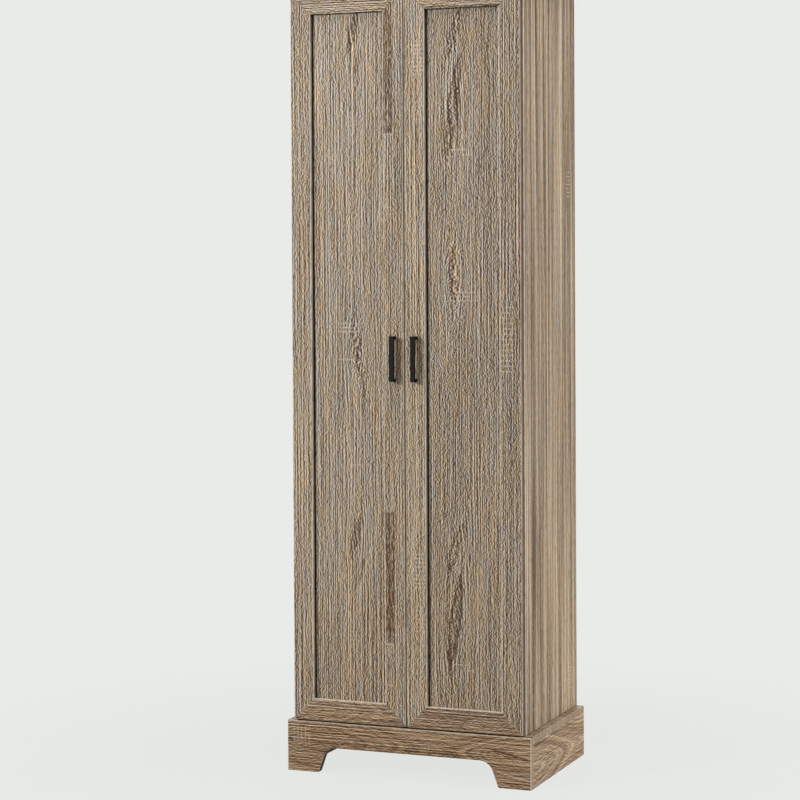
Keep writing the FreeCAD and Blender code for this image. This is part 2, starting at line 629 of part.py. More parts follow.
rail = block("rear_rail_blank", (f"-{side_face}", rail_y, "0"), (f"2 * {side_face}", "board", bottom_z))
spanned("plinth_rear_rail", rail, rail_holes)

# Back panels, nailed to the sides and the base board
nails = []
back_low = bottom_z
back_panels = {"lower": (back_low, hat_middle), "upper": (hat_middle, top_z)}
back_cuts = {part: [] for part in back_panels}
bracket_x = "(bracket_spacing / 2)"
wall_hole_z = f"({top_z} - bracket_hole_drop)"


def nail(tag, part, x, z, holes):
    shank = rod(f"{tag}_shank", "y", (x, f"{inner_back_y} + back_thickness - nail_head - nail_length", z),
                "nail_radius", "nail_length")
    head = rod(f"{tag}_head", "y", (x, f"{back_y} - nail_head", z), "nail_head_radius", "nail_head")
    nails.append(fused(tag, [shank, head]))
    back_cuts[part].append(rod(f"{tag}_sink", "y", (x, f"{back_y} - nail_head", z),
                               "nail_head_radius + fit_play", "nail_head"))
    bore = rod(f"{tag}_bore", "y", (x, f"{back_y} - nail_head - nail_length - end_play", z),
               "nail_radius + fit_play", "nail_length + end_play")
    back_cuts[part].append(bore)
    holes.append(bore)


for part, (low, high) in back_panels.items():
    for i in range(count("nails_per_edge")):
        z = f"({low} + nail_inset + {i} * ({high} - {low} - 2 * nail_inset) / (nails_per_edge - 1))"
        nail(f"{part}_nail_{i}", part, f"(-{side_face} + board / 2)", z, side_holes)
nail("bottom_nail", "lower", f"(-{side_inner} / 2)", f"({bottom_z} + board / 2)", bottom_holes)
for part, (low, high) in back_panels.items():
    extra = []
    if part == "upper":
        extra = [rod("wall_hole_back", "y", (f"-{bracket_x}", inner_back_y, wall_hole_z),
                     "bracket_hole_radius", "back_thickness")]
    panel = block(f"back_{part}_blank", (f"-{side_face} + back_inset", inner_back_y, low),
                  (f"2 * ({side_face} - back_inset)", "back_thickness", f"{high} - {low}"))
    spanned(f"back_panel_{part}", panel, back_cuts[part] + extra)
left_nails = together("left_nails", nails)
node(together("back_nails", [left_nails, mirrored("right_nails", left_nails)]))

# Wall brackets under the top board
bracket_left = f"-{bracket_x} - bracket_width / 2"
bracket_back = block("bracket_upright",
                     (bracket_left, f"{inner_back_y} - bracket_thickness", f"{top_z} - bracket_leg"),
                     ("bracket_width", "bracket_thickness", "bracket_leg"))
bracket_under = block("bracket_level",
                      (bracket_left, f"{inner_back_y} - bracket_leg", f"{top_z} - bracket_thickness"),
                      ("bracket_width", "bracket_leg", "bracket_thickness"))
wall_hole = rod("wall_hole", "y", (f"-{bracket_x}", f"{inner_back_y} - bracket_thickness", wall_hole_z),
                "bracket_hole_radius", "bracket_thickness")
bracket_seat = (f"-{bracket_x}", f"{inner_back_y} - bracket_leg / 2 - bracket_thickness",
                f"{top_z} - bracket_thickness")
bracket_size = ("hinge_screw_radius", "bracket_screw_length")
bracket_screw = screw("left_bracket_screw", "z", bracket_seat, 1, *bracket_size)
bracket = cut("left_wall_bracket", fused("bracket_blank", [bracket_back, bracket_under]),
              [wall_hole, screw_hole("bracket_screw_hole", "z", bracket_seat, 1, *bracket_size)])
top_holes.append(screw_hole("bracket_screw_bore", "z", bracket_seat, 1, *bracket_size))
node(together("wall_brackets", [bracket, mirrored("right_wall_bracket", bracket)]))
node(together("wall_bracket_screws", [bracket_screw, mirrored("right_bracket_screw", bracket_screw)]))

# Carcass boards
side = block("left_side_blank", (f"-{side_face}", front_y, "plinth_height"),
             ("board", carcass_depth, f"{top_z} - plinth_height"))
both(cut("side_panel_left", side, side_holes))
top_front_y = f"({door_face_y} - top_lip)"
top = block("top_blank", ("-overall_width / 2", top_front_y, top_z),
            ("overall_width", f"{back_y} - {top_front_y}", "top_thickness"))
spanned("top_board", top, top_holes)
base = block("bottom_blank", ("-overall_width / 2", front_y, bottom_z),
             ("overall_width", carcass_depth, "board"))
spanned("bottom_panel", base, bottom_holes)
hat = block("hat_blank", (f"-{side_inner}", front_y, hat_z), (f"2 * {side_inner}", carcass_depth, "board"))
spanned("hat_shelf", hat, hat_holes)
upright = block("partition_blank", ("-board / 2", front_y, "plinth_height"),
                ("board", carcass_depth, bay_height))
node(cut("partition", upright, partition_holes))
for name, solids in (("cam_bolts", cam_bolts), ("cam_locks", cam_locks), ("dowels", dowels)):
    left = together(f"left_{name}", solids)
    node(together(name, [left, mirrored(f"right_{name}", left)]))

# Loose shelves of the right-hand bay, each on four pins
pins = []
shelf_left_x = "(board / 2 + shelf_play)"
for level in shelves:
    z = shelf_z(level)
    node(block(f"loose_shelf_{level + 1}", (shelf_left_x, shelf_front_y, z),
               (f"{side_inner} - shelf_play - {shelf_left_x}", f"{shelf_back_y} - {shelf_front_y}", "board")))
    for i, y in enumerate(pin_lines):
        pin_z = f"({z} - pin_seat / 2)"
        for end, (wall, inward) in enumerate((("board / 2", 1), (side_inner, -1))):
            seat_x = wall if inward > 0 else f"{wall} - pin_seat"
            stem_x = f"{wall} - pin_hole_depth" if inward > 0 else wall
            stem = rod(f"pin_stem_{level}_{i}_{end}", "x", (stem_x, y, pin_z), "pin_radius", "pin_hole_depth")
            seat = block(f"pin_seat_{level}_{i}_{end}", (seat_x, f"{y} - pin_seat / 2", f"{z} - pin_seat"),
                         ("pin_seat", "pin_seat", "pin_seat"))
            pins.append(fused(f"shelf_pin_{level}_{i}_{end}", [stem, seat]))
node(together("shelf_pins", pins))

# Bumpers on the front edge of the partition, two for each door
bumpers = [rod(f"left_bumper_{i}", "y", ("-bumper_spread / 2", f"{front_y} - bumper_thickness", z),
               "bumper_radius", "bumper_thickness")
           for i, z in enumerate(("(plinth_height + bumper_inset)", f"({hat_z} - bumper_inset)"))]
left_bumpers = together("left_bumpers", bumpers)
node(together("door_bumpers", [left_bumpers, mirrored("right_bumpers", left_bumpers)]))

# Left door: a mitred frame with a panel in its groove
groove_y = f"({door_face_y} + panel_recess - groove_play)"
groove_width = "(panel_thickness + 2 * groove_play)"
opening_low = f"({door_low} + frame_width)"
opening_high = f"({door_high} - frame_width)"
opening_left = f"(-{door_outer} + frame_width)"
opening_right = "(-meeting_gap / 2 - frame_width)"
opening_width = f"({opening_right} - {opening_left})"
opening_height = f"({opening_high} - {opening_low})"
outer_x = f"-{door_outer}"
inner_x = "-meeting_gap / 2"
members = {
    "outer_stile": [(outer_x, door_low), (opening_left, opening_low), (opening_left, opening_high),
                    (outer_x, door_high)],
    "meeting_stile": [(inner_x, door_low), (inner_x, door_high), (opening_right, opening_high),
                      (opening_right, opening_low)],
    "bottom_rail": [(outer_x, door_low), (inner_x, door_low), (opening_right, opening_low),
                    (opening_left, opening_low)],
    "top_rail": [(outer_x, door_high), (opening_left, opening_high), (opening_right, opening_high),
                 (inner_x, door_high)],
}
groove = block("panel_groove", (f"{opening_left} - groove_depth", groove_y, f"{opening_low} - groove_depth"),
               (f"{opening_width} + 2 * groove_depth", groove_width, f"{opening_height} + 2 * groove_depth"))


def spline(tag, x, z, angle, play):
    # a plate that lies across a mitre, turned square to it
    box = doc.addObject("Part::Box", tag)
    bind(box, Length=f"spline_length + 2 * {play}", Width=f"spline_thickness + 2 * {play}",
         Height=f"spline_width + 2 * {play}")
    box.Placement = Placement(Vector(), Rotation(Vector(0, 1, 0), angle))
    sine = 1 if angle < 0 else -1
    half = [f"(spline_length / 2 + {play})", f"(spline_width / 2 + {play})"]
    put(box, f"{x} - ({half[0]} - {sine} * {half[1]}) * sqrt(0.5)",
        f"{door_back_y} - spline_inset - spline_thickness - {play}",
        f"{z} - ({half[1]} + {sine} * {half[0]}) * sqrt(0.5)")
    return box


corners = {}
for tag, (x, z, angle) in {
    "low_outer": (f"({outer_x} + frame_width / 2)", f"({door_low} + frame_width / 2)", -45),
    "high_outer": (f"({outer_x} + frame_width / 2)", f"({door_high} - frame_width / 2)", 45),
    "low_inner": (f"({inner_x} - frame_width / 2)", f"({door_low} + frame_width / 2)", 45),
    "high_inner": (f"({inner_x} - frame_width / 2)", f"({door_high} - frame_width / 2)", -45),
}.items():
    corners[tag] = (spline(f"spline_{tag}", x, z, angle, "0"), spline(f"slot_{tag}", x, z, angle, "fit_play"))
slots = [slot for plate, slot in corners.values()]
handle_x = "(-meeting_gap / 2 - handle_edge)"
handle_z = f"(({door_low} + {door_high}) / 2)"
handle_holes = []
handle_screws = []
leg_holes = []
for i, sign in enumerate((-1, 1)):
    z = f"({handle_z} + {sign} * (handle_length - handle_leg) / 2)"
    seat = (handle_x, door_back_y, z)
    size = ("hinge_screw_radius", "door_thickness + handle_thread_depth - end_play")
    handle_screws.append(screw(f"handle_screw_{i}", "y", seat, -1, *size))
    handle_holes.append(screw_hole(f"handle_screw_bore_{i}", "y", seat, -1, *size))
    leg_holes.append(screw_hole(f"handle_screw_hole_{i}", "y", seat, -1, *size))
member_cuts = {
    "outer_stile": stile_holes,
    "meeting_stile": handle_holes,
    "bottom_rail": [],
    "top_rail": [],
}
for member, outline in members.items():
    blank = profile(f"{member}_blank", "XZ_Plane", outline, "door_thickness")
    put(blank, "0", door_back_y, "0")
    both(cut(f"left_door_{member}", blank, [groove, *slots, *member_cuts[member]]))
margin = "(groove_depth - panel_play)"
both(block("left_door_panel",
           (f"{opening_left} - {margin}", f"{door_face_y} + panel_recess", f"{opening_low} - {margin}"),
           (f"{opening_width} + 2 * {margin}", "panel_thickness", f"{opening_height} + 2 * {margin}")))
both(together("left_door_mitre_splines", [plate for plate, slot in corners.values()]))

# Left handle: a square bar on two legs, screwed from the door's back
bar_inner = "-(handle_projection - handle_bar)"
leg_end = "handle_length / 2"
leg_start = "(handle_length / 2 - handle_leg)"
handle_points = [
    ("0", f"-{leg_end}"), ("-handle_projection", f"-{leg_end}"),
    ("-handle_projection", leg_end), ("0", leg_end),
    ("0", leg_start), (bar_inner, leg_start), (bar_inner, f"-{leg_start}"), ("0", f"-{leg_start}"),
]
handle_body = profile("handle_blank", "YZ_Plane", handle_points, "handle_width")
bar_front = -value("handle_projection")


def bar_end(edge):
    ends = [vertex.Point for vertex in edge.Vertexes]
    return abs(ends[0].x - ends[-1].x) > NEAR and abs(ends[0].y - bar_front) < NEAR


rounded(handle_body, "ends", bar_end, "handle_rounding")
put(handle_body, f"{handle_x} - handle_width / 2", door_face_y, handle_z)
both(cut("left_handle", handle_body, leg_holes))
both(together("left_handle_screws", handle_screws))

doc.recompute()
failed = [item.Name for item in doc.Objects if {"Invalid", "Error"} & set(item.State)]
for item in nodes:
    if item.Shape.isNull() or not item.Shape.isValid() or not item.Shape.Solids:
        failed.append(item.Label)
if failed:
    raise RuntimeError(f"not built: {failed}")
os.makedirs("parts", exist_ok=True)
for item in nodes:
    item.Shape.exportStep(f"parts/{item.Label}.step")
    print(item.Label, len(item.Shape.Solids), round(item.Shape.Volume))
print(len(nodes), "nodes")
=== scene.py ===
import math

import bpy
from mathutils import Matrix, Vector


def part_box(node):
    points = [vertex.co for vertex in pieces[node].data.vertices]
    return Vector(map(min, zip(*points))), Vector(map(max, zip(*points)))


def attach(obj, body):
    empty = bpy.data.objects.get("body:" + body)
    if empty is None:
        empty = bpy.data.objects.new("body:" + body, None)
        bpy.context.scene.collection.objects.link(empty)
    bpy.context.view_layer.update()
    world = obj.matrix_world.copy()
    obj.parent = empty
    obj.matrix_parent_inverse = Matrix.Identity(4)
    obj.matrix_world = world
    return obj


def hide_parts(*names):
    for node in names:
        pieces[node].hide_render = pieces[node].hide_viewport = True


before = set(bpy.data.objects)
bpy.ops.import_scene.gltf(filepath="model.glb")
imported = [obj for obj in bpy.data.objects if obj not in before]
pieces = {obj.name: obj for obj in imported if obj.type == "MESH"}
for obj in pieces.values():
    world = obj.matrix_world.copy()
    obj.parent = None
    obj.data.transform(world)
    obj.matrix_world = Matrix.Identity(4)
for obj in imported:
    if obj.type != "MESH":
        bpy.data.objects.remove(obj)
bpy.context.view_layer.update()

scene = bpy.context.scene
print("cupboard loaded,", len(pieces), "pieces")


# small helpers for node trees

def rgb(red, green, blue):  # 0-255 screen colour to linear
    def one(value):
        value = value / 255
        return value / 12.92 if value <= 0.04045 else ((value + 0.055) / 1.055) ** 2.4
    return one(red), one(green), one(blue), 1.0


def feed(tree, socket, source):
    if isinstance(source, bpy.types.NodeSocket):
        tree.links.new(source, socket)
    else:
        socket.default_value = source


def calc(tree, operation, *terms, clamp=False):
    node = tree.nodes.new("ShaderNodeMath")
    node.operation = operation
    node.use_clamp = clamp
    for socket, term in zip(node.inputs, terms):
        feed(tree, socket, term)
    return node.outputs[0]


def plus(tree, first, *others):
    for other in others:
        first = calc(tree, "ADD", first, other)
    return first


def times(tree, first, *others):
    for other in others:
        first = calc(tree, "MULTIPLY", first, other)
    return first


def minus(tree, first, second):
    return calc(tree, "SUBTRACT", first, second)


def over(tree, first, second):
    return calc(tree, "DIVIDE", first, second)


def onto(tree, value, factor, base, clamp=False):  # value times factor, added to base
    return calc(tree, "MULTIPLY_ADD", value, factor, base, clamp=clamp)


def unsigned(tree, value):
    return calc(tree, "ABSOLUTE", value)


def vec(tree, operation, *terms):
    node = tree.nodes.new("ShaderNodeVectorMath")
    node.operation = operation
    for socket, term in zip(node.inputs, terms):
        feed(tree, socket, term)
    return node.outputs[0]


def scaled(tree, vector, factor):
    node = vec(tree, "SCALE", vector).node
    feed(tree, node.inputs["Scale"], factor)
    return node.outputs[0]


def inMillimetres(tree, vector):
    return scaled(tree, vector, 1000.0)


def joined(tree, x, y, z):
    node = tree.nodes.new("ShaderNodeCombineXYZ")
    for socket, term in zip(node.inputs, (x, y, z)):
        feed(tree, socket, term)
    return node.outputs[0]


def parted(tree, vector):
    node = tree.nodes.new("ShaderNodeSeparateXYZ")
    feed(tree, node.inputs[0], vector)
    return node.outputs[0], node.outputs[1], node.outputs[2]


def texture(tree, kind, vector, size, shift):
    node = tree.nodes.new(kind)
    node.inputs["Scale"].default_value = 1.0
    place = vec(tree, "MULTIPLY_ADD", vector, tuple(1 / s for s in size), shift)
    feed(tree, node.inputs["Vector"], place)
    return node


def noise(tree, vector, size, shift, detail=2.0, rough=0.5):
    node = texture(tree, "ShaderNodeTexNoise", vector, size, shift)
    node.inputs["Detail"].default_value = detail
    node.inputs["Roughness"].default_value = rough
    return node.outputs[0]


def cells(tree, vector, size, shift):
    node = texture(tree, "ShaderNodeTexVoronoi", vector, size, shift)
    return parted(tree, node.outputs["Color"])


def span(tree, value, low, high, outLow=0.0, outHigh=1.0, smooth=False):
    node = tree.nodes.new("ShaderNodeMapRange")
    node.interpolation_type = "SMOOTHSTEP" if smooth else "LINEAR"
    for socket, term in zip(node.inputs, (value, low, high, outLow, outHigh)):
        feed(tree, socket, term)
    return node.outputs[0]


def ramp(tree, value, stops):
    node = tree.nodes.new("ShaderNodeValToRGB")
    band = node.color_ramp
    band.elements[0].position, band.elements[0].color = stops[0]
    band.elements[1].position, band.elements[1].color = stops[-1]
    for place, colour in stops[1:-1]:
        band.elements.new(place).color = colour
    feed(tree, node.inputs[0], value)
    return node.outputs[0]


def blend(tree, factor, first, second, mode="MIX"):
    node = tree.nodes.new("ShaderNodeMix")
    node.data_type = "RGBA"
    node.blend_type = mode
    feed(tree, node.inputs[0], factor)
    feed(tree, node.inputs[6], first)
    feed(tree, node.inputs[7], second)
    return node.outputs[2]


def newMaterial(name):
    material = bpy.data.materials.new(name)
    material.use_nodes = True
    tree = material.node_tree
    coords = tree.nodes.new("ShaderNodeTexCoord").outputs
    return material, tree, tree.nodes["Principled BSDF"].inputs, coords


def bumped(tree, shader, height, depth):
    node = tree.nodes.new("ShaderNodeBump")
    node.inputs["Distance"].default_value = depth
    feed(tree, node.inputs["Height"], height)
    feed(tree, shader["Normal"], node.outputs[0])


def addSockets(tree, inputs, outputs):
    for name, value in inputs.items():
        kind = "NodeSocketFloat" if isinstance(value, float) else "NodeSocketVector"
        tree.interface.new_socket(name, in_out="INPUT", socket_type=kind).default_value = value
    for name in outputs:
        kind = "NodeSocketColor" if name == "Color" else "NodeSocketFloat"
        tree.interface.new_socket(name, in_out="OUTPUT", socket_type=kind)
    return tree.nodes.new("NodeGroupInput").outputs, tree.nodes.new("NodeGroupOutput").inputs


# washed oak foil, one node group for every board
# sizes are across, along and through the grain, in millimetres

oak = {
    "palette": [(0.00, rgb(48, 34, 25)), (0.20, rgb(95, 76, 59)), (0.40, rgb(134, 114, 94)),
                (0.60, rgb(167, 148, 126)), (0.80, rgb(196, 179, 157)), (1.00, rgb(226, 212, 192))],
    "cool": (0.905, 0.985, 1.120, 1.0), "warm": (1.080, 0.995, 0.845, 1.0),
    "tone": -0.014, "lowFrom": (1.2, 0.1), "lowWarmth": 0.28,      # heights in metres
    "repeat": 1168.0,      # length of the print
    "seedStep": (7.31, 3.17, 5.77),
    "wander": dict(size=(110, 640, 90), detail=1), "wanderBy": 3.5,
    # growth lines
    "ragged": dict(size=(15, 90, 20), detail=2, rough=0.6),
    "rings": dict(size=(1, 600, 60), detail=1),
    # fibres side by side, from specks to long lines: width, length, strength; depth in widths
    "cells": [(1.4, 3.6, 0.72), (1.7, 14, 0.32)], "cellDepth": 3,
    "lines": [(1.9, 75, 0.55), (2.1, 420, 1.15)], "lineDepth": 4,
    "beside": 2.4,      # a dark line's pale neighbour is this far off
    # uneven streaks, strong on boards seen at a slant
    "broad": dict(size=(15, 620, 40), detail=2, rough=0.7), "broadBy": 0.85,
    "clouds": [(dict(size=(10, 210, 30), detail=1), 0.30),
               (dict(size=(48, 430, 30), detail=1), 0.24)],
    "patch": dict(size=(22, 170, 20), detail=1), "patchTint": 2.3, "fibreTint": 1.3,
    "pores": dict(size=(2.0, 11, 6), detail=0), "poreFade": (0.60, 0.72), "poreDark": 0.16,
    # brown figure
    "brown": rgb(104, 70, 47), "brownDark": 0.32, "brownCover": 0.34,
    "stripSides": (1.0, 0.90), "stripEnds": (1.0, 0.97), "curlShade": (0.95, -0.2, 1.30, 0.42),
    "curl": dict(size=(13, 60, 20), detail=2, rough=0.6), "curlBy": 34.0, "curlAlong": 0.07,
    # pale saw marks, also as single dashes here and there
    "sawPale": rgb(218, 202, 180), "sawCover": 0.80, "dashBy": 0.55,
    "dashes": dict(size=(11, 2.3, 9), detail=1), "dashFade": (0.56, 0.66),
    "dashAreas": dict(size=(30, 80, 30), detail=1), "areaFade": (0.66, 0.72),
    "shine": (0.1, 0.9), "rough": (0.68, 0.50), "specular": 0.25, "relief": 0.00005,
}


def fromSpot(tree, grain, spot):  # distance across and along, met again at each repeat
    across, along, _ = parted(tree, grain)
    x, y, every = parted(tree, spot)
    half = times(tree, every, 0.5)
    around = calc(tree, "WRAP", minus(tree, along, y), half, times(tree, half, -1.0))
    return minus(tree, across, x), around


# a brown flame in the grain: a pointed eye with a dark outline, and fibres pushed aside round it

flameLook = {
    "ragged": dict(size=(5, 30, 9), shift=(3.0, 1.0, 2.0), detail=2, rough=0.6), "raggedBy": 0.7,
    "fill": (1.0, 0.6), "rim": 0.95, "rimFade": (0.24, 0.08), "pushWidth": 2.2, "pushFade": 0.6,
}


def flameGroup():
    tree = bpy.data.node_groups.new("brownFlame", "ShaderNodeTree")
    given, result = addSockets(tree, {
        "Grain": (0, 0, 0), "Spot": (0, 0, oak["repeat"]),
        "Size": (10, 60, 0), "Weight": (1, 1, 0)}, ("Dark", "Push"))
    grain = inMillimetres(tree, given["Grain"])
    dx, dy = fromSpot(tree, grain, given["Spot"])
    wide, long, lean = parted(tree, given["Size"])
    body, outline, push = parted(tree, given["Weight"])
    u = over(tree, minus(tree, dx, times(tree, dy, lean)), wide)
    v = over(tree, dy, long)
    vSquare = times(tree, v, v)
    ragged = noise(tree, grain, **flameLook["ragged"])
    away = plus(tree, unsigned(tree, u), vSquare)
    away = onto(tree, minus(tree, ragged, 0.5), flameLook["raggedBy"], away)
    fill = span(tree, away, *flameLook["fill"], smooth=True)
    fromRim = unsigned(tree, minus(tree, away, flameLook["rim"]))
    rim = span(tree, fromRim, *flameLook["rimFade"], smooth=True)
    feed(tree, result["Dark"], plus(tree, times(tree, fill, body), times(tree, rim, outline)))
    side = over(tree, u, flameLook["pushWidth"])
    faded = times(tree, onto(tree, side, side, vSquare), -flameLook["pushFade"])
    near = calc(tree, "EXPONENT", faded)
    feed(tree, result["Push"], times(tree, side, near, times(tree, push, -1.0)))
    return tree


# pale saw marks across the grain, in a ladder

sawLook = {
    "fray": dict(size=(9, 5, 9), shift=(5.0, 2.0, 1.0), detail=1), "frayBy": 0.9,
    "wornAndLit": dict(size=(6, 3.2, 6), shift=(1.0, 4.0, 2.0), detail=1), "wornFade": (0.36, 0.60),
    "sides": (1.45, 1.15), "ends": (1.0, 0.9), "rung": (0.35, 0.92),
}


def sawGroup():
    tree = bpy.data.node_groups.new("sawLadder", "ShaderNodeTree")
    given, result = addSockets(tree, {
        "Grain": (0, 0, 0), "Spot": (0, 0, oak["repeat"]),
        "Size": (14, 40, 9.5), "Gain": 1.0}, ("Light",))
    grain = inMillimetres(tree, given["Grain"])
    dx, dy = fromSpot(tree, grain, given["Spot"])
    wide, long, pitch = parted(tree, given["Size"])
    fray = noise(tree, grain, **sawLook["fray"])
    offX = onto(tree, fray, sawLook["frayBy"], over(tree, unsigned(tree, dx), wide))
    offY = over(tree, unsigned(tree, dy), long)
    inside = times(tree, span(tree, offX, *sawLook["sides"]), span(tree, offY, *sawLook["ends"]))
    rung = calc(tree, "COSINE", times(tree, over(tree, dy, pitch), math.tau))
    wornAndLit = span(tree, noise(tree, grain, **sawLook["wornAndLit"]), *sawLook["wornFade"])
    light = times(tree, span(tree, rung, *sawLook["rung"]), wornAndLit, inside)
    feed(tree, result["Light"], times(tree, light, given["Gain"]))
    return tree


def oakGroup():
    tree = bpy.data.node_groups.new("washedOak", "ShaderNodeTree")
    given, result = addSockets(tree, {
        "Grain": (0, 0, 0), "Seed": 1.0, "Tone": 0.0, "Warmth": 0.5,
        "Heart": 0.0, "Depth": 18.0, "Sway": 30.0, "Crest": 0.0, "Reach": 900.0,
        "Rings": 0.22, "Pitch": 5.2, "Ragged": 6.0,
        "Coarse": 1.0, "Stretch": 1.0, "Fine": 1.0, "Long": 1.0, "Broad": 0.0,
        "Strip": (0, 0, oak["repeat"]), "StripSize": (10, 100, 0),
        "Flames": 0.0, "Push": 0.0, "Saw": 0.0}, ("Color", "Roughness", "Height"))
    grain = inMillimetres(tree, given["Grain"])
    shift = scaled(tree, oak["seedStep"], given["Seed"])
    across, along, through = parted(tree, grain)

    def seeded(key, place):  # one of the foil's noises, at this board's seed
        return noise(tree, place, shift=shift, **oak[key])

    bent = onto(tree, seeded("wander", grain), oak["wanderBy"], plus(tree, across, given["Push"]))
    narrowed, shortened = over(tree, bent, given["Coarse"]), over(tree, along, given["Stretch"])
    strands = joined(tree, narrowed, shortened, through)
    beside = vec(tree, "ADD", strands, (oak["beside"], 0, 0))

    # growth lines round the heart of the board: arches and ovals where the sway turns
    offHeart = minus(tree, bent, given["Heart"])
    turn = over(tree, minus(tree, along, given["Crest"]), given["Reach"])
    wave = calc(tree, "COSINE", times(tree, turn, math.tau))
    depth = given["Depth"]
    squares = plus(tree, times(tree, offHeart, offHeart), times(tree, depth, depth))
    ring = onto(tree, wave, given["Sway"], calc(tree, "SQRT", squares))
    ring = plus(tree, ring, times(tree, seeded("ragged", grain), given["Ragged"]))
    ringPlace = joined(tree, over(tree, ring, given["Coarse"]), along, through)
    ringPlace = vec(tree, "DIVIDE", ringPlace, joined(tree, given["Pitch"], 1.0, 1.0))
    rings = seeded("rings", ringPlace)
    value = onto(tree, minus(tree, rings, 0.5), given["Rings"], given["Tone"])

    for wide, long, gain in oak["cells"]:
        size = (wide, long, oak["cellDepth"] * wide)
        fibre, hue, _ = cells(tree, strands, size, shift)
        pair = minus(tree, fibre, cells(tree, beside, size, shift)[0])
        value = onto(tree, pair, times(tree, given["Fine"], gain), value)
    for wide, long, gain in oak["lines"]:
        size = (wide, long, oak["lineDepth"] * wide)
        pair = minus(tree, *(noise(tree, place, size, shift, 0) for place in (strands, beside)))
        value = onto(tree, pair, times(tree, given["Long"], gain), value)
    streak = minus(tree, seeded("broad", strands), 0.5)
    value = onto(tree, streak, times(tree, given["Broad"], oak["broadBy"]), value)
    for cloud, gain in oak["clouds"]:
        soft = noise(tree, strands, shift=shift, **cloud)
        value = onto(tree, soft, gain, minus(tree, value, 0.5 * gain))
    value = plus(tree, value, 0.5)

    # open pores, short and dark, along the fibres
    pore = span(tree, seeded("pores", strands), *oak["poreFade"])
    value = onto(tree, pore, -oak["poreDark"], value)

    # brown figured strip between two joints, repeated along the board as a printed foil repeats
    stripWide, stripLong, stripDark = parted(tree, given["StripSize"])
    dx, dy = fromSpot(tree, grain, given["Strip"])
    offX = over(tree, unsigned(tree, dx), stripWide)
    offY = over(tree, unsigned(tree, dy), stripLong)
    inside = times(tree, span(tree, offX, *oak["stripSides"]), span(tree, offY, *oak["stripEnds"]))
    curl = times(tree, seeded("curl", grain), oak["curlBy"])
    curl = calc(tree, "SINE", plus(tree, curl, times(tree, along, oak["curlAlong"])))
    shade = times(tree, stripDark, span(tree, curl, *oak["curlShade"]))
    brown = plus(tree, times(tree, inside, shade), given["Flames"])
    value = onto(tree, brown, -oak["brownDark"], value)

    area = span(tree, seeded("dashAreas", grain), *oak["areaFade"])
    dash = times(tree, span(tree, seeded("dashes", grain), *oak["dashFade"]), area)
    saw = calc(tree, "MAXIMUM", given["Saw"], times(tree, dash, oak["dashBy"]))

    warmth = onto(tree, minus(tree, hue, 0.5), oak["fibreTint"], given["Warmth"])
    patch = minus(tree, seeded("patch", strands), 0.5)
    warmth = onto(tree, patch, oak["patchTint"], warmth, clamp=True)
    tint = blend(tree, warmth, oak["cool"], oak["warm"])
    colour = blend(tree, 1.0, ramp(tree, value, oak["palette"]), tint, "MULTIPLY")
    brownCover = calc(tree, "MULTIPLY", brown, oak["brownCover"], clamp=True)
    colour = blend(tree, brownCover, colour, oak["brown"])
    sawCover = calc(tree, "MULTIPLY", saw, oak["sawCover"], clamp=True)
    feed(tree, result["Color"], blend(tree, sawCover, colour, oak["sawPale"]))
    feed(tree, result["Roughness"], span(tree, value, *oak["shine"], *oak["rough"]))
    feed(tree, result["Height"], minus(tree, value, pore))
    return tree


flameTree, sawTree, oakTree = flameGroup(), sawGroup(), oakGroup()
axes = {"x": 0, "y": 1, "z": 2}
print("oak foil ready")


def placed(tree, nodeTree, values):
    group = tree.nodes.new("ShaderNodeGroup")
    group.node_tree = nodeTree
    for name, value in values.items():
        feed(tree, group.inputs[name], value)
    return group.outputs


def oakColour(tree, look, place):
    grain = joined(tree, *(place[axes[letter]] for letter in look["grain"]))
    values = {"Grain": grain}
    for key in ("seed", "heart", "depth", "sway", "crest", "reach", "rings", "pitch", "ragged",
                "coarse", "stretch", "fine", "long", "broad"):
        if key in look:
            values[key.capitalize()] = look[key]
    # boards are warmer towards the floor; some are also lighter or darker there, which is painted
    # light and shade
    low = span(tree, place[2], *oak["lowFrom"])
    values["Warmth"] = onto(tree, low, oak["lowWarmth"], look.get("warmth", 0.5))
    values["Tone"] = onto(tree, low, look.get("lowTone", 0.0), look.get("tone", 0.0) + oak["tone"])
    if "strip" in look:
        x, y, wide, long, dark = look["strip"]
        values["Strip"], values["StripSize"] = (x, y, oak["repeat"]), (wide, long, dark)
    flames = [placed(tree, flameTree, {"Grain": grain, "Spot": (x, y, oak["repeat"]),
                                       "Size": (wide, long, lean), "Weight": weight})
              for x, y, wide, long, lean, weight in look.get("flames", ())]
    saws = [placed(tree, sawTree, {"Grain": grain, "Spot": (x, y, oak["repeat"]),
                                   "Size": (wide, long, pitch), "Gain": gain})["Light"]
            for x, y, wide, long, pitch, gain in look.get("saws", ())]
    if flames:
        values["Flames"] = plus(tree, *(flame["Dark"] for flame in flames))
        values["Push"] = plus(tree, *(flame["Push"] for flame in flames))
    if saws:
        values["Saw"] = plus(tree, *saws)
    return placed(tree, oakTree, values)


# edges of the boards: banded, with painted highlights, and painted shade in the gaps and recesses

arris = {
    # the pale colours paint highlights along the edges, with some wear; the darkest colour is
    # painted shade
    "pale": rgb(224, 212, 196), "wornAndLit": rgb(172, 154, 133), "paintedShade": rgb(22, 16, 13),
    "rub": dict(size=(9, 9, 22), shift=(2.0, 5.0, 3.0), detail=3, rough=0.6),
    "rubFade": (0.30, 0.55),
    "flat": (0.955, 0.985), "round": (0.975, 0.955),     # cosines to the nearest axis
    "mitre": (0.02, 0.05), "cover": 0.9, "mitreCover": 0.25, "hidden": (0.15, 0.30),
    "bandFade": (0.30, 0.70), "bandShade": 0.76, "lineFade": (0.25, 0.50), "lineLeast": 0.4,
    "shadowLine": (0.0048, 0.0034), "rear": (-0.1825, -0.1810),     # metres
    "cutFront": (0.35, 0.15), "cutTop": (0.5, 0.3), "cutEnd": (0.985, 0.955),
    "cutRound": (0.10, 0.20),
}


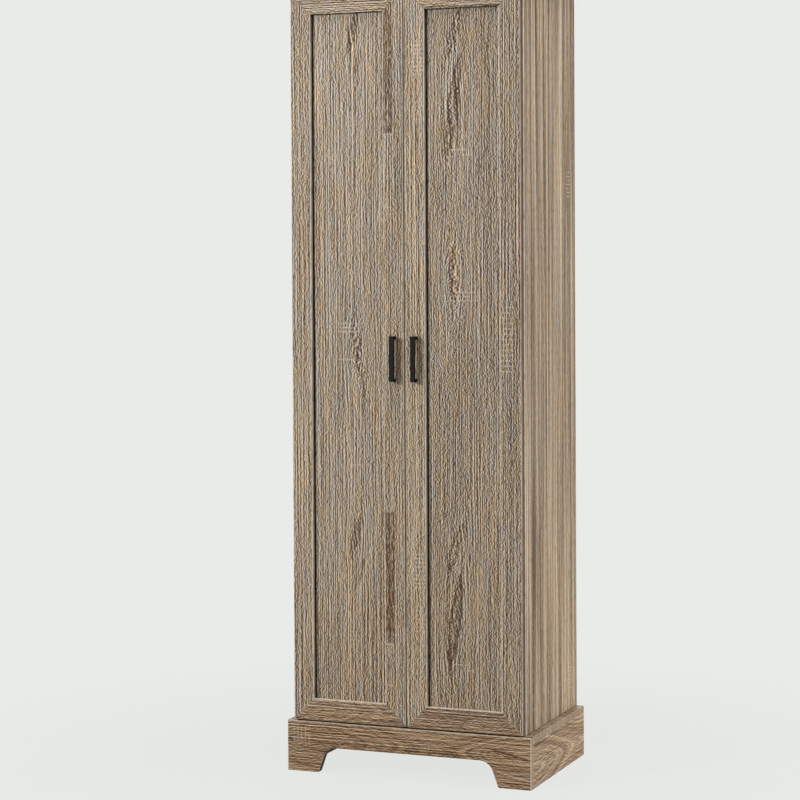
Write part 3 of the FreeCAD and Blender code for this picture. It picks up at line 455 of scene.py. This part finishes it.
def bandedEdges(tree, colour, look, facing, rub):  # by the way they face
    for side, (tone, cover) in look.get("edges", {}).items():
        toward = times(tree, facing[axes[side[1]]], 1.0 if side[0] == "+" else -1.0)
        shaded = tuple(arris["bandShade"] * c for c in tone[:3]) + (1.0,)
        band = ramp(tree, rub, list(zip(arris["bandFade"], (shaded, tone))))
        colour = blend(tree, span(tree, toward, *arris["flat"], 0.0, cover), colour, band)
    return colour


def paintedEdgeLight(tree, colour, look, place, facing, rub):
    if "rear" in look:      # painted shade in the gap behind the door, on the rear of the door's edge
        toward = span(tree, unsigned(tree, facing[0]), *arris["flat"])
        behind = times(tree, toward, span(tree, place[1], *arris["rear"]))
        colour = blend(tree, behind, colour, look["rear"])
    for letter, startAt, paled, cover in look.get("highlightLines", ()):    # painted highlight line beside an edge, made patchy by the rub noise
        uneven = span(tree, rub, *arris["lineFade"], arris["lineLeast"] * cover, cover)
        wornAndLit = times(tree, span(tree, place[axes[letter]], startAt, paled), uneven)
        colour = blend(tree, wornAndLit, colour, arris["pale"])
    if "shadowLine" in look:       # painted shadow along the panel's edge, beside the frame
        shadowLine = span(tree, place[0], *(look["shadowLine"] + wide for wide in arris["shadowLine"]))
        colour = blend(tree, shadowLine, colour, arris["paintedShade"])
    return colour


# rounded edges get a painted highlight with some wear, fainter on the mitres, and painted shade
# underneath

def roundedEdges(tree, colour, look, facing, rub):
    x, y, z = (unsigned(tree, part) for part in facing)
    nearest = calc(tree, "MAXIMUM", calc(tree, "MAXIMUM", x, y), z)
    rounded = span(tree, nearest, *arris["round"])
    if "cut" in look:
        rounded = times(tree, rounded, span(tree, y, *arris["cutRound"]))
    mitre = span(tree, times(tree, x, z, y), *arris["mitre"])
    cover = span(tree, mitre, 0, 1, look.get("arris", arris["cover"]), arris["mitreCover"])
    paled = ramp(tree, rub, list(zip(arris["rubFade"], (arris["wornAndLit"], arris["pale"]))))
    # arrises facing back behind the door, or facing down, get painted shade
    if "rear" in look:
        hidden = span(tree, facing[1], *arris["hidden"])
    else:
        hidden = span(tree, facing[2], *(-level for level in arris["hidden"]))
    shade = blend(tree, hidden, paled, look.get("under", arris["paintedShade"]))
    colour = blend(tree, times(tree, rounded, cover), colour, shade)
    if "cut" in look:       # sawn edges of the arch, painted dark as painted shade
        sawn = times(tree, span(tree, y, *arris["cutFront"]),
                     span(tree, facing[2], *arris["cutTop"]), span(tree, x, *arris["cutEnd"]))
        colour = blend(tree, sawn, colour, look["cut"])
    return colour


def oakMaterial(name, look):
    material, tree, shader, coords = newMaterial(name)
    place, facing = parted(tree, coords["Object"]), parted(tree, coords["Normal"])
    rub = noise(tree, inMillimetres(tree, coords["Object"]), **arris["rub"])
    foil = oakColour(tree, look, place)
    colour = foil["Color"]
    if "stain" in look:
        colour = blend(tree, 1.0, colour, look["stain"], "MULTIPLY")
    colour = bandedEdges(tree, colour, look, facing, rub)
    colour = paintedEdgeLight(tree, colour, look, place, facing, rub)
    colour = roundedEdges(tree, colour, look, facing, rub)
    feed(tree, shader["Base Color"], colour)
    feed(tree, shader["Roughness"], foil["Roughness"])
    shader["Specular IOR Level"].default_value = oak["specular"]
    bumped(tree, shader, foil["Height"], oak["relief"])
    return material


# boards: what each one shows
# grain: axes across, along and through it
# strip: across, along, half width, half length, darkness
# flames: across, along, half width, half length, lean, (body, outline, push)
# saws: across, along, half width, half length, pitch, strength
# painted highlight lines beside edges: axis, start at, full at, cover

bands = {      # colour, cover
    # the inner colour, nearly black, is painted shade on the recess walls inside the door frames
    "inner": (rgb(16, 12, 10), 1.0), "outer": (rgb(132, 84, 56), 0.9),
    # the pale colour is a painted highlight, used on the bottom rails' upward-facing walls
    "meeting": (rgb(124, 103, 82), 0.8), "pale": (rgb(240, 232, 220), 0.95),
    "tan": (rgb(176, 150, 121), 0.7), "base": (rgb(172, 148, 121), 0.5),
    "lip": (rgb(170, 147, 121), 0.8),
}
# the outer stiles' rear colour is painted shade on the back part of their outer edge
outerStile = {"grain": "xzy", "sway": 60.0, "rear": rgb(44, 42, 44)}
doorPanel = {"grain": "xzy", "depth": 16.0, "sway": 34.0}
topRail = {"grain": "zxy", "tone": 0.02, "warmth": 0.62, "heart": 1600.0, "sway": 40.0,
           "edges": {"-z": bands["inner"]}}
bottomRail = {"grain": "zxy", "warmth": 0.80, "depth": 24.0, "sway": 20.0, "rings": 0.5,
              "stretch": 1.8, "fine": 0.6, "long": 0.7, "edges": {"+z": bands["pale"]},
              "under": arris["wornAndLit"], "highlightLines": [("z", 0.1697, 0.1707, 0.7)]}
sidePanel = {"grain": "yzx", "warmth": 0.72, "coarse": 1.1, "stretch": 2.0, "fine": 0.52,
             "long": 0.6, "edges": {"-y": bands["lip"]}, "highlightLines": [("y", -0.166, -0.168, 0.9)]}
plinthSide = {"grain": "zyx", "depth": 12.0, "rings": 1.2, "pitch": 5.0, "ragged": 1.6,
              "stretch": 2.6, "fine": 0.55, "long": 0.5, "arris": 0.35}
shelf = {"grain": "yxz", "tone": 0.02, "warmth": 0.58, "depth": 24.0, "sway": 36.0, "reach": 700.0,
         "edges": {"-y": bands["lip"]}}
looseShelf = {**shelf, "sway": 30.0, "reach": 640.0}

boards = {
    "left_door_outer_stile": {
        **outerStile, "seed": 3.1, "tone": 0.045, "lowTone": -0.065, "warmth": 0.52,
        "heart": -420.0, "edges": {"-x": bands["outer"], "+x": bands["inner"]},
        "highlightLines": [("x", -0.2336, -0.2326, 0.9)]},
    "left_door_panel": {
        **doorPanel, "seed": 8.4, "tone": 0.065, "lowTone": -0.065, "warmth": 0.42,
        "heart": -135.0, "crest": 1080.0, "reach": 760.0, "shadowLine": -0.231,
        "flames": [(-128, 1718, 8, 52, 0.26, (0.40, 1.2, 8)),
                   (-117, 1640, 5, 34, 0.30, (0.30, 1.1, 0)),
                   (-120, 985, 9, 62, -0.14, (0.05, 0.9, 14)),
                   (-128, 1290, 1.3, 210, 0.0, (1.0, 0.0, 0))],
        "saws": [(-140, 1036, 28, 18, 9.5, 1.0), (-146, 962, 30, 9, 9.5, 0.9),
                 (-128, 719, 16, 6, 9.5, 0.8), (-131, 1491, 12, 34, 9.5, 0.5)]},
    "left_door_meeting_stile": {
        "grain": "xzy", "seed": 5.7, "tone": 0.02, "warmth": 0.50, "heart": -60.0, "depth": 30.0,
        "sway": 24.0, "strip": (-38, 1632, 11.5, 152, 1.0),
        "edges": {"+x": bands["meeting"], "-x": bands["inner"]},
        "highlightLines": [("x", -0.0488, -0.0498, 0.6), ("x", -0.0042, -0.0032, 0.6)],
        "saws": [(-40, 1478, 12, 4.6, 9.5, 1.0), (-40, 1383, 12, 4.6, 9.5, 0.8),
                 (-40, 1312, 12, 4.6, 9.5, 0.9)]},
    "right_door_meeting_stile": {
        "grain": "xzy", "seed": 12.9, "tone": 0.10, "warmth": 0.60, "heart": 160.0, "depth": 60.0,
        "sway": 50.0, "edges": {"-x": bands["meeting"], "+x": bands["inner"]},
        "highlightLines": [("x", 0.0489, 0.0499, 0.9)],
        "saws": [(35, 1650, 17, 42, 9.5, 1.0), (35, 1540, 16, 36, 9.5, 0.6)]},
    "right_door_panel": {
        **doorPanel, "seed": 17.3, "tone": 0.02, "warmth": 0.38,
        "heart": 128.0, "crest": 1190.0, "reach": 820.0, "shadowLine": 0.0515,
        "flames": [(118, 1702, 8, 58, 0.30, (0.15, 1.1, 8)),
                   (118, 1540, 12, 110, 0.13, (0.40, 1.1, 12)),
                   (117, 1160, 10, 66, -0.08, (0.05, 0.85, 15)),
                   (129, 860, 1.3, 240, 0.0, (1.0, 0.0, 0))],
        "saws": [(142, 1108, 36, 15, 9.5, 1.0), (129, 1440, 24, 4.6, 9.5, 1.0),
                 (150, 1428, 16, 4.6, 9.5, 0.7)]},
    "right_door_outer_stile": {
        **outerStile, "seed": 21.6, "tone": 0.0, "lowTone": 0.02, "warmth": 0.36,
        "heart": 520.0, "edges": {"+x": bands["outer"], "-x": bands["inner"]},
        "highlightLines": [("x", 0.2337, 0.2327, 0.5)], "saws": [(250, 1012, 17, 84, 12, 0.8)]},
    "left_door_top_rail": {**topRail, "seed": 25.2},
    "left_door_bottom_rail": {
        **bottomRail, "stain": (1.01, 0.97, 0.95, 1.0), "seed": 28.8, "tone": 0.02, "heart": 150.0,
        "reach": 420.0},
    "right_door_top_rail": {**topRail, "seed": 31.5},
    "right_door_bottom_rail": {
        **bottomRail, "stain": (1.01, 0.97, 0.97, 1.0), "seed": 34.1, "tone": -0.06, "heart": 140.0,
        "reach": 380.0},
    "side_panel_left": {
        **sidePanel, "seed": 38.9, "tone": 0.03, "heart": -40.0, "depth": 40.0, "sway": 30.0,
        "broad": 1.6},
    "side_panel_right": {
        **sidePanel, "seed": 41.4, "tone": -0.008, "lowTone": 0.035, "heart": 420.0, "depth": 60.0,
        "sway": 80.0, "broad": 2.2, "saws": [(155, 200, 16, 34, 9.5, 0.8)]},
    "plinth_front": {
        "grain": "zxy", "stain": (0.99, 0.92, 0.88, 1.0), "seed": 46.0, "tone": 0.01,
        "warmth": 0.95, "heart": 76.0, "depth": 14.0, "sway": 26.0, "crest": 60.0,
        "reach": 520.0, "rings": 0.75, "ragged": 2.0, "stretch": 1.8, "fine": 0.55, "long": 0.7,
        "saws": [(86, -264, 26, 22, 9.5, 0.8)],
        "flames": [(78, 246, 2.6, 66, -0.20, (1.7, 0.0, 0)),
                   (71, 256, 1.6, 46, -0.16, (1.4, 0.0, 0)),
                   (66, 60, 1.3, 130, 0.0, (1.1, 0.0, 0)),
                   (72, -30, 1.3, 110, 0.0, (1.0, 0.0, 0))],
        "edges": {"+x": bands["tan"], "-x": bands["tan"]}, "edge": 0.0018, "cut": rgb(30, 22, 17)},
    "plinth_side_left": {
        **plinthSide, "seed": 49.7, "tone": 0.0, "warmth": 0.74, "heart": 60.0, "sway": 30.0,
        "crest": 200.0, "reach": 780.0},
    "plinth_side_right": {
        **plinthSide, "stain": (1.01, 0.96, 0.93, 1.0), "seed": 53.3, "tone": 0.10, "warmth": 0.92,
        "heart": 44.0, "sway": 34.0, "crest": 225.0, "reach": 800.0},
    "top_board": {
        **shelf, "seed": 57.9, "heart": 20.0, "depth": 20.0,
        "edges": {side: bands["base"] for side in ("+x", "-x", "-y")}},
    "bottom_panel": {
        **shelf, "seed": 61.2, "heart": -60.0, "coarse": 2.2, "fine": 0.5, "long": 0.6,
        "edges": {side: bands["base"] for side in ("+x", "-x")}},
    "hat_shelf": {**shelf, "seed": 64.6, "heart": 60.0},
    "partition": {**shelf, "grain": "yzx", "seed": 68.3, "heart": 20.0, "reach": 800.0},
    "loose_shelf_1": {**looseShelf, "seed": 71.8, "heart": 20.0},
    "loose_shelf_2": {**looseShelf, "seed": 75.4, "heart": 90.0},
    "loose_shelf_3": {**looseShelf, "seed": 79.1, "heart": -30.0},
    "plinth_rear_rail": {
        "grain": "zxy", "seed": 82.5, "tone": -0.02, "warmth": 0.66, "heart": 300.0, "sway": 40.0,
        "stretch": 1.8, "fine": 0.6, "long": 0.7},
}


# flat faces and soft edges come from modifiers, so that the CAD meshes stay as they are

edge = {"width": 0.0012, "segments": 2, "angle": math.radians(35),
        "weld": 0.00001, "flat": math.radians(0.5)}


def facetGroup():
    tree = bpy.data.node_groups.new("flatFaces", "GeometryNodeTree")
    for way in ("INPUT", "OUTPUT"):
        tree.interface.new_socket("Geometry", in_out=way, socket_type="NodeSocketGeometry")
    flow = tree.nodes.new("NodeGroupInput").outputs[0]
    for kind, name, value in (("GeometryNodeRemoveAttribute", "Name", "custom_normal"),
                              ("GeometryNodeSetShadeSmooth", "Shade Smooth", False)):
        node = tree.nodes.new(kind)
        node.inputs[name].default_value = value
        feed(tree, node.inputs[0], flow)
        flow = node.outputs[0]
    feed(tree, tree.nodes.new("NodeGroupOutput").inputs[0], flow)
    return tree


facetTree = facetGroup()


def facet(board):
    board.modifiers.new("facet", "NODES").node_group = facetTree


def softEdges(board, width):
    weld = board.modifiers.new("weld", "WELD")
    weld.merge_threshold = edge["weld"]
    flat = board.modifiers.new("flat", "DECIMATE")
    flat.decimate_type = "DISSOLVE"
    flat.angle_limit = edge["flat"]
    bevel = board.modifiers.new("arris", "BEVEL")
    bevel.width = width
    bevel.segments = edge["segments"]
    bevel.limit_method = "ANGLE"
    bevel.angle_limit = edge["angle"]
    bevel.use_clamp_overlap = False


def dress(board, material):
    board.data.materials.clear()
    board.data.materials.append(material)


# plinth front: the same board with finer curves at the arch, so that its edges can be softened

arch = {"foot": 0.079, "slant": 0.021, "rise": 0.059, "cornerRadius": 0.034, "cornerSteps": 12,
        "toeRadius": 0.004, "toeSteps": 3}


def roundCorner(before, corner, after, radius, steps):
    back, on = (before - corner).normalized(), (after - corner).normalized()
    half = back.angle(on) / 2
    centre = corner + (back + on).normalized() * (radius / math.sin(half))
    run = radius / math.tan(half)
    start, end = corner + back * run - centre, corner + on * run - centre
    return [centre + start.slerp(end, i / steps).normalized() * radius for i in range(steps + 1)]


def plinthArch():
    low, high = (Vector(c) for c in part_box("plinth_front"))
    toe, knee = high.x - arch["foot"], high.x - arch["foot"] - arch["slant"]
    bend = [(high.x, 0), (toe, 0), (knee, arch["rise"]), (0, arch["rise"])]
    bend = [Vector((x, 0, z)) for x, z in bend]
    half = roundCorner(*bend[:3], arch["toeRadius"], arch["toeSteps"])
    half += roundCorner(*bend[1:], arch["cornerRadius"], arch["cornerSteps"])
    half = [(high.x, high.z), (high.x, 0)] + [(c.x, c.z) for c in half]
    outline = half + [(-x, z) for x, z in reversed(half)]
    count = len(outline)
    corners = [(x, y, z) for y in (low.y, high.y) for x, z in outline]
    faces = [list(range(count))[::-1], list(range(count, 2 * count))]
    faces += [[i, (i + 1) % count, (i + 1) % count + count, i + count] for i in range(count)]
    mesh = bpy.data.meshes.new("plinth_arch")
    mesh.from_pydata(corners, [], faces)
    mesh.validate()
    board = bpy.data.objects.new("plinth_arch", mesh)
    scene.collection.objects.link(board)
    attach(board, "carcass")
    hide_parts("plinth_front")
    return board


shown = dict(pieces)
shown["plinth_front"] = plinthArch()
for name, look in boards.items():
    dress(shown[name], oakMaterial("oak_" + name, look))
    facet(shown[name])
    softEdges(shown[name], look.get("edge", edge["width"]))
print("oak boards dressed:", len(boards))


# thin back panels: oak print inside, brown fibre outside

hardboard = {
    "brown": rgb(150, 117, 86), "dark": rgb(112, 83, 58), "tint": (0.40, 0.80),
    "felt": dict(size=(2.6, 2.6, 2.6), shift=(1.0, 2.0, 3.0), detail=4, rough=0.65), "feltBy": 0.9,
    "patch": dict(size=(90, 90, 90), shift=(4.0, 1.0, 2.0), detail=2), "patchBy": 0.22,
    "print": {"grain": "xzy", "seed": 86.0}, "inside": (-0.4, -0.6),
    "rough": (0.75, 0.58), "specular": 0.2, "relief": 0.0002,
}


def hardboardMaterial():
    material, tree, shader, coords = newMaterial("hardboard")
    millimetres = inMillimetres(tree, coords["Object"])
    felt = noise(tree, millimetres, **hardboard["felt"])
    patch = noise(tree, millimetres, **hardboard["patch"])
    fibres = onto(tree, patch, hardboard["patchBy"], times(tree, felt, hardboard["feltBy"]))
    shades = hardboard["dark"], hardboard["brown"]
    brown = ramp(tree, fibres, list(zip(hardboard["tint"], shades)))
    foil = oakColour(tree, hardboard["print"], parted(tree, coords["Object"]))
    inside = span(tree, parted(tree, coords["Normal"])[1], *hardboard["inside"])
    feed(tree, shader["Base Color"], blend(tree, inside, brown, foil["Color"]))
    feed(tree, shader["Roughness"], span(tree, inside, 0, 1, *hardboard["rough"]))
    shader["Specular IOR Level"].default_value = hardboard["specular"]
    bumped(tree, shader, felt, hardboard["relief"])
    return material


backBoard = hardboardMaterial()
for name in ("back_panel_upper", "back_panel_lower"):
    dress(pieces[name], backBoard)
    facet(pieces[name])
print("back panels dressed")


# bare beech for dowels, splines and corner blocks

beech = {
    "dark": rgb(178, 138, 98), "light": rgb(214, 183, 142), "range": (0.30, 0.70),
    "streak": dict(size=(1.4, 1.4, 14), shift=(3.0, 1.0, 6.0), detail=3, rough=0.6),
    "fleck": dict(size=(0.5, 0.5, 3), shift=(2.0, 8.0, 1.0), detail=1), "fleckFade": (0.55, 0.75),
    "fleckCover": 0.5, "rough": (0.75, 0.6), "relief": 0.0001,
}


def beechMaterial():
    material, tree, shader, coords = newMaterial("bareBeech")
    place = inMillimetres(tree, coords["Object"])
    streak = noise(tree, place, **beech["streak"])
    fleck = span(tree, noise(tree, place, **beech["fleck"]), *beech["fleckFade"])
    colour = ramp(tree, streak, list(zip(beech["range"], (beech["dark"], beech["light"]))))
    colour = blend(tree, times(tree, fleck, beech["fleckCover"]), colour, beech["dark"])
    feed(tree, shader["Base Color"], colour)
    feed(tree, shader["Roughness"], span(tree, streak, *beech["range"], *beech["rough"]))
    bumped(tree, shader, streak, beech["relief"])
    return material


bareBeech = beechMaterial()
for name in ("dowels", "plinth_corner_blocks",
             "left_door_mitre_splines", "right_door_mitre_splines"):
    dress(pieces[name], bareBeech)
print("beech pieces dressed")


# black satin handles

handle = {
    "black": rgb(7, 8, 10), "grey": rgb(15, 17, 20), "tint": (0.30, 0.75),
    "grit": dict(size=(0.35, 0.35, 0.35), shift=(1.0, 5.0, 2.0)),
    "haze": dict(size=(14, 14, 30), shift=(7.0, 2.0, 4.0)), "shine": (0.3, 0.7),
    "rough": (0.42, 0.54), "specular": 0.14, "relief": 0.00004, "edge": 0.0006,
}


def blackSatin():
    material, tree, shader, coords = newMaterial("blackSatin")
    place = inMillimetres(tree, coords["Object"])
    haze = noise(tree, place, **handle["haze"])
    colour = ramp(tree, haze, list(zip(handle["tint"], (handle["black"], handle["grey"]))))
    feed(tree, shader["Base Color"], colour)
    feed(tree, shader["Roughness"], span(tree, haze, *handle["shine"], *handle["rough"]))
    shader["Specular IOR Level"].default_value = handle["specular"]
    bumped(tree, shader, noise(tree, place, **handle["grit"]), handle["relief"])
    return material


satin = blackSatin()
for name in ("left_handle", "right_handle"):
    dress(pieces[name], satin)
    facet(pieces[name])
    softEdges(pieces[name], handle["edge"])
print("handles dressed")


# plated steel for hinges, screws, nails and cams

steel = {
    "nickel": {"dull": rgb(150, 147, 142), "bright": rgb(196, 193, 187), "rough": (0.24, 0.42)},
    "zinc": {"dull": rgb(138, 141, 146), "bright": rgb(186, 188, 190), "rough": (0.36, 0.54)},
    "haze": dict(size=(5, 5, 5), shift=(3.0, 6.0, 1.0), detail=3, rough=0.6),
    "scuff": dict(size=(0.5, 0.5, 7), shift=(9.0, 2.0, 3.0)), "range": (0.30, 0.70),
    "relief": 0.00003,
}


def platedSteel(name, plating):
    material, tree, shader, coords = newMaterial(name)
    place = inMillimetres(tree, coords["Object"])
    haze, scuff = (noise(tree, place, **steel[key]) for key in ("haze", "scuff"))
    colour = ramp(tree, haze, list(zip(steel["range"], (plating["dull"], plating["bright"]))))
    feed(tree, shader["Base Color"], colour)
    shader["Metallic"].default_value = 1.0
    feed(tree, shader["Roughness"], span(tree, scuff, *steel["range"], *plating["rough"]))
    bumped(tree, shader, scuff, steel["relief"])
    return material


nickel, zinc = platedSteel("nickelSteel", steel["nickel"]), platedSteel("zincSteel", steel["zinc"])
nickelPieces = [n for n in pieces if "hinge" in n]
zincPieces = ["cam_bolts", "cam_locks", "back_nails", "shelf_pins", "plinth_screws",
              "wall_brackets", "wall_bracket_screws", "left_handle_screws", "right_handle_screws"]
for name in nickelPieces:
    dress(pieces[name], nickel)
for name in zincPieces:
    dress(pieces[name], zinc)
print("fittings dressed:", len(nickelPieces) + len(zincPieces))


# clear bumpers

bumper = {
    "cloudy": rgb(196, 201, 200), "clear": rgb(222, 226, 224), "range": (0.3, 0.7),
    "cloud": dict(size=(3, 3, 3), shift=(2.0, 2.0, 2.0)), "rough": (0.22, 0.36),
    "transmission": 0.65, "ior": 1.46,
}


def clearRubber():
    material, tree, shader, coords = newMaterial("clearRubber")
    cloud = noise(tree, inMillimetres(tree, coords["Object"]), **bumper["cloud"])
    colour = ramp(tree, cloud, list(zip(bumper["range"], (bumper["cloudy"], bumper["clear"]))))
    feed(tree, shader["Base Color"], colour)
    feed(tree, shader["Roughness"], span(tree, cloud, *bumper["range"], *bumper["rough"]))
    shader["Transmission Weight"].default_value = bumper["transmission"]
    shader["IOR"].default_value = bumper["ior"]
    return material


dress(pieces["door_bumpers"], clearRubber())
print("bumpers dressed")


# pale floor and backdrop

stage = {
    "pale": rgb(233, 235, 233), "matt": (0.55, 0.56, 0.55, 1.0), "radius": 9.0, "rimPoints": 96,
    "shadow": 0.09, "shadowFade": (0.5, 1.7),      # share that shows, and where it ends
    "ambient": 0.13, "ambientTint": (0.94, 0.97, 1.0, 1.0),
}


def seenDirectly(tree):
    path = tree.nodes.new("ShaderNodeLightPath").outputs
    mirrored = calc(tree, "MAXIMUM", path["Is Glossy Ray"], path["Is Transmission Ray"])
    return calc(tree, "MAXIMUM", path["Is Camera Ray"], mirrored)


def coloured(tree, kind, colour):
    node = tree.nodes.new(kind)
    node.inputs["Color"].default_value = colour
    return node


def shared(tree, factor, first, second, outputKind):
    mixed = tree.nodes.new("ShaderNodeMixShader")
    for socket, source in zip(mixed.inputs, (factor, first.outputs[0], second.outputs[0])):
        feed(tree, socket, source)
    feed(tree, tree.nodes.new(outputKind).inputs[0], mixed.outputs[0])


def makeFloor():
    count, radius = stage["rimPoints"], stage["radius"]
    turns = [math.tau * i / count for i in range(count)]
    mesh = bpy.data.meshes.new("floor")
    rim = [(radius * math.cos(turn), radius * math.sin(turn), 0) for turn in turns]
    mesh.from_pydata(rim, [], [list(range(count))])
    floor = bpy.data.objects.new("floor", mesh)
    scene.collection.objects.link(floor)
    material = bpy.data.materials.new("paleFloor")
    material.use_nodes = True
    tree = material.node_tree
    tree.nodes.clear()
    matt = coloured(tree, "ShaderNodeBsdfDiffuse", stage["matt"])
    glow = coloured(tree, "ShaderNodeEmission", stage["pale"])
    x, y, _ = parted(tree, tree.nodes.new("ShaderNodeTexCoord").outputs["Object"])
    away = calc(tree, "SQRT", plus(tree, times(tree, x, x), times(tree, y, y)))
    keep = span(tree, away, *stage["shadowFade"], stage["shadow"], 0.0, smooth=True)
    plain = times(tree, seenDirectly(tree), minus(tree, 1.0, keep))
    shared(tree, plain, matt, glow, "ShaderNodeOutputMaterial")
    mesh.materials.append(material)


def makeWorld():
    world = bpy.data.worlds.new("studio")
    scene.world = world
    world.use_nodes = True
    tree = world.node_tree
    tree.nodes.clear()
    soft = coloured(tree, "ShaderNodeBackground", stage["ambientTint"])
    soft.inputs["Strength"].default_value = stage["ambient"]
    pale = coloured(tree, "ShaderNodeBackground", stage["pale"])
    shared(tree, seenDirectly(tree), soft, pale, "ShaderNodeOutputWorld")


makeFloor()
makeWorld()


# soft lamps: front left, above, right for the side, and one for the back

lamps = {
    "frontLamp": {"spot": (-2.75, -3.60, 2.35), "aim": (0.0, -0.19, 1.05), "size": (0.8, 0.8),
                  "watts": 132, "tint": (1.0, 0.985, 0.96)},
    "topLamp": {"spot": (0.5, -0.7, 4.1), "aim": (0.1, -0.15, 0.1), "size": (2.4, 2.0),
                "watts": 75, "tint": (1.0, 0.99, 0.98)},
    "sideLamp": {"spot": (3.2, 0.95, 1.2), "aim": (0.28, 0.05, 0.95), "size": (1.6, 2.0),
                 "watts": 62, "tint": (1.0, 0.98, 0.95)},
    "rearLamp": {"spot": (-1.5, 4.1, 2.5), "aim": (0.0, 0.2, 0.95), "size": (1.8, 1.8),
                 "watts": 85, "tint": (1.0, 0.99, 0.97)},
}


def hang(name, lamp):
    light = bpy.data.lights.new(name, "AREA")
    light.shape = "RECTANGLE"
    light.size, light.size_y = lamp["size"]
    light.energy = lamp["watts"]
    light.color = lamp["tint"]
    holder = bpy.data.objects.new(name, light)
    scene.collection.objects.link(holder)
    holder.location = lamp["spot"]
    beam = Vector(lamp["aim"]) - Vector(lamp["spot"])
    holder.rotation_euler = beam.to_track_quat("-Z", "Y").to_euler()


for name, lamp in lamps.items():
    hang(name, lamp)
print("stage and lamps set")


# camera, fitted to the photograph: focal length and centre are in pixels of its square frame

camera = {"spot": (1.9210, -4.9855, 1.1995), "yaw": 21.943, "pitch": 1.178, "roll": -0.301,
          "focal": 2265.2, "centre": 303.0, "frame": 800, "sensor": 36, "far": 60}


def placeCamera():
    yaw, pitch, roll = (math.radians(camera[k]) for k in ("yaw", "pitch", "roll"))
    right = Vector((math.cos(yaw), math.sin(yaw), 0))
    ahead = Vector((-math.sin(yaw) * math.cos(pitch), math.cos(yaw) * math.cos(pitch),
                    -math.sin(pitch)))
    up = right.cross(ahead)
    cos, sin = math.cos(roll), math.sin(roll)
    right, up = right * cos + up * sin, up * cos - right * sin
    lens = bpy.data.cameras.new("camera")
    lens.sensor_width = camera["sensor"]
    lens.lens = camera["focal"] * camera["sensor"] / camera["frame"]
    lens.shift_y = camera["centre"] / camera["frame"] - 0.5
    lens.clip_end = camera["far"]
    holder = bpy.data.objects.new("camera", lens)
    scene.collection.objects.link(holder)
    turn = Matrix((right, up, -ahead)).transposed().to_4x4()
    holder.matrix_world = Matrix.Translation(camera["spot"]) @ turn
    scene.camera = holder


placeCamera()
scene.view_settings.view_transform = "Standard"
bpy.context.view_layer.update()
print("camera set, scene done")
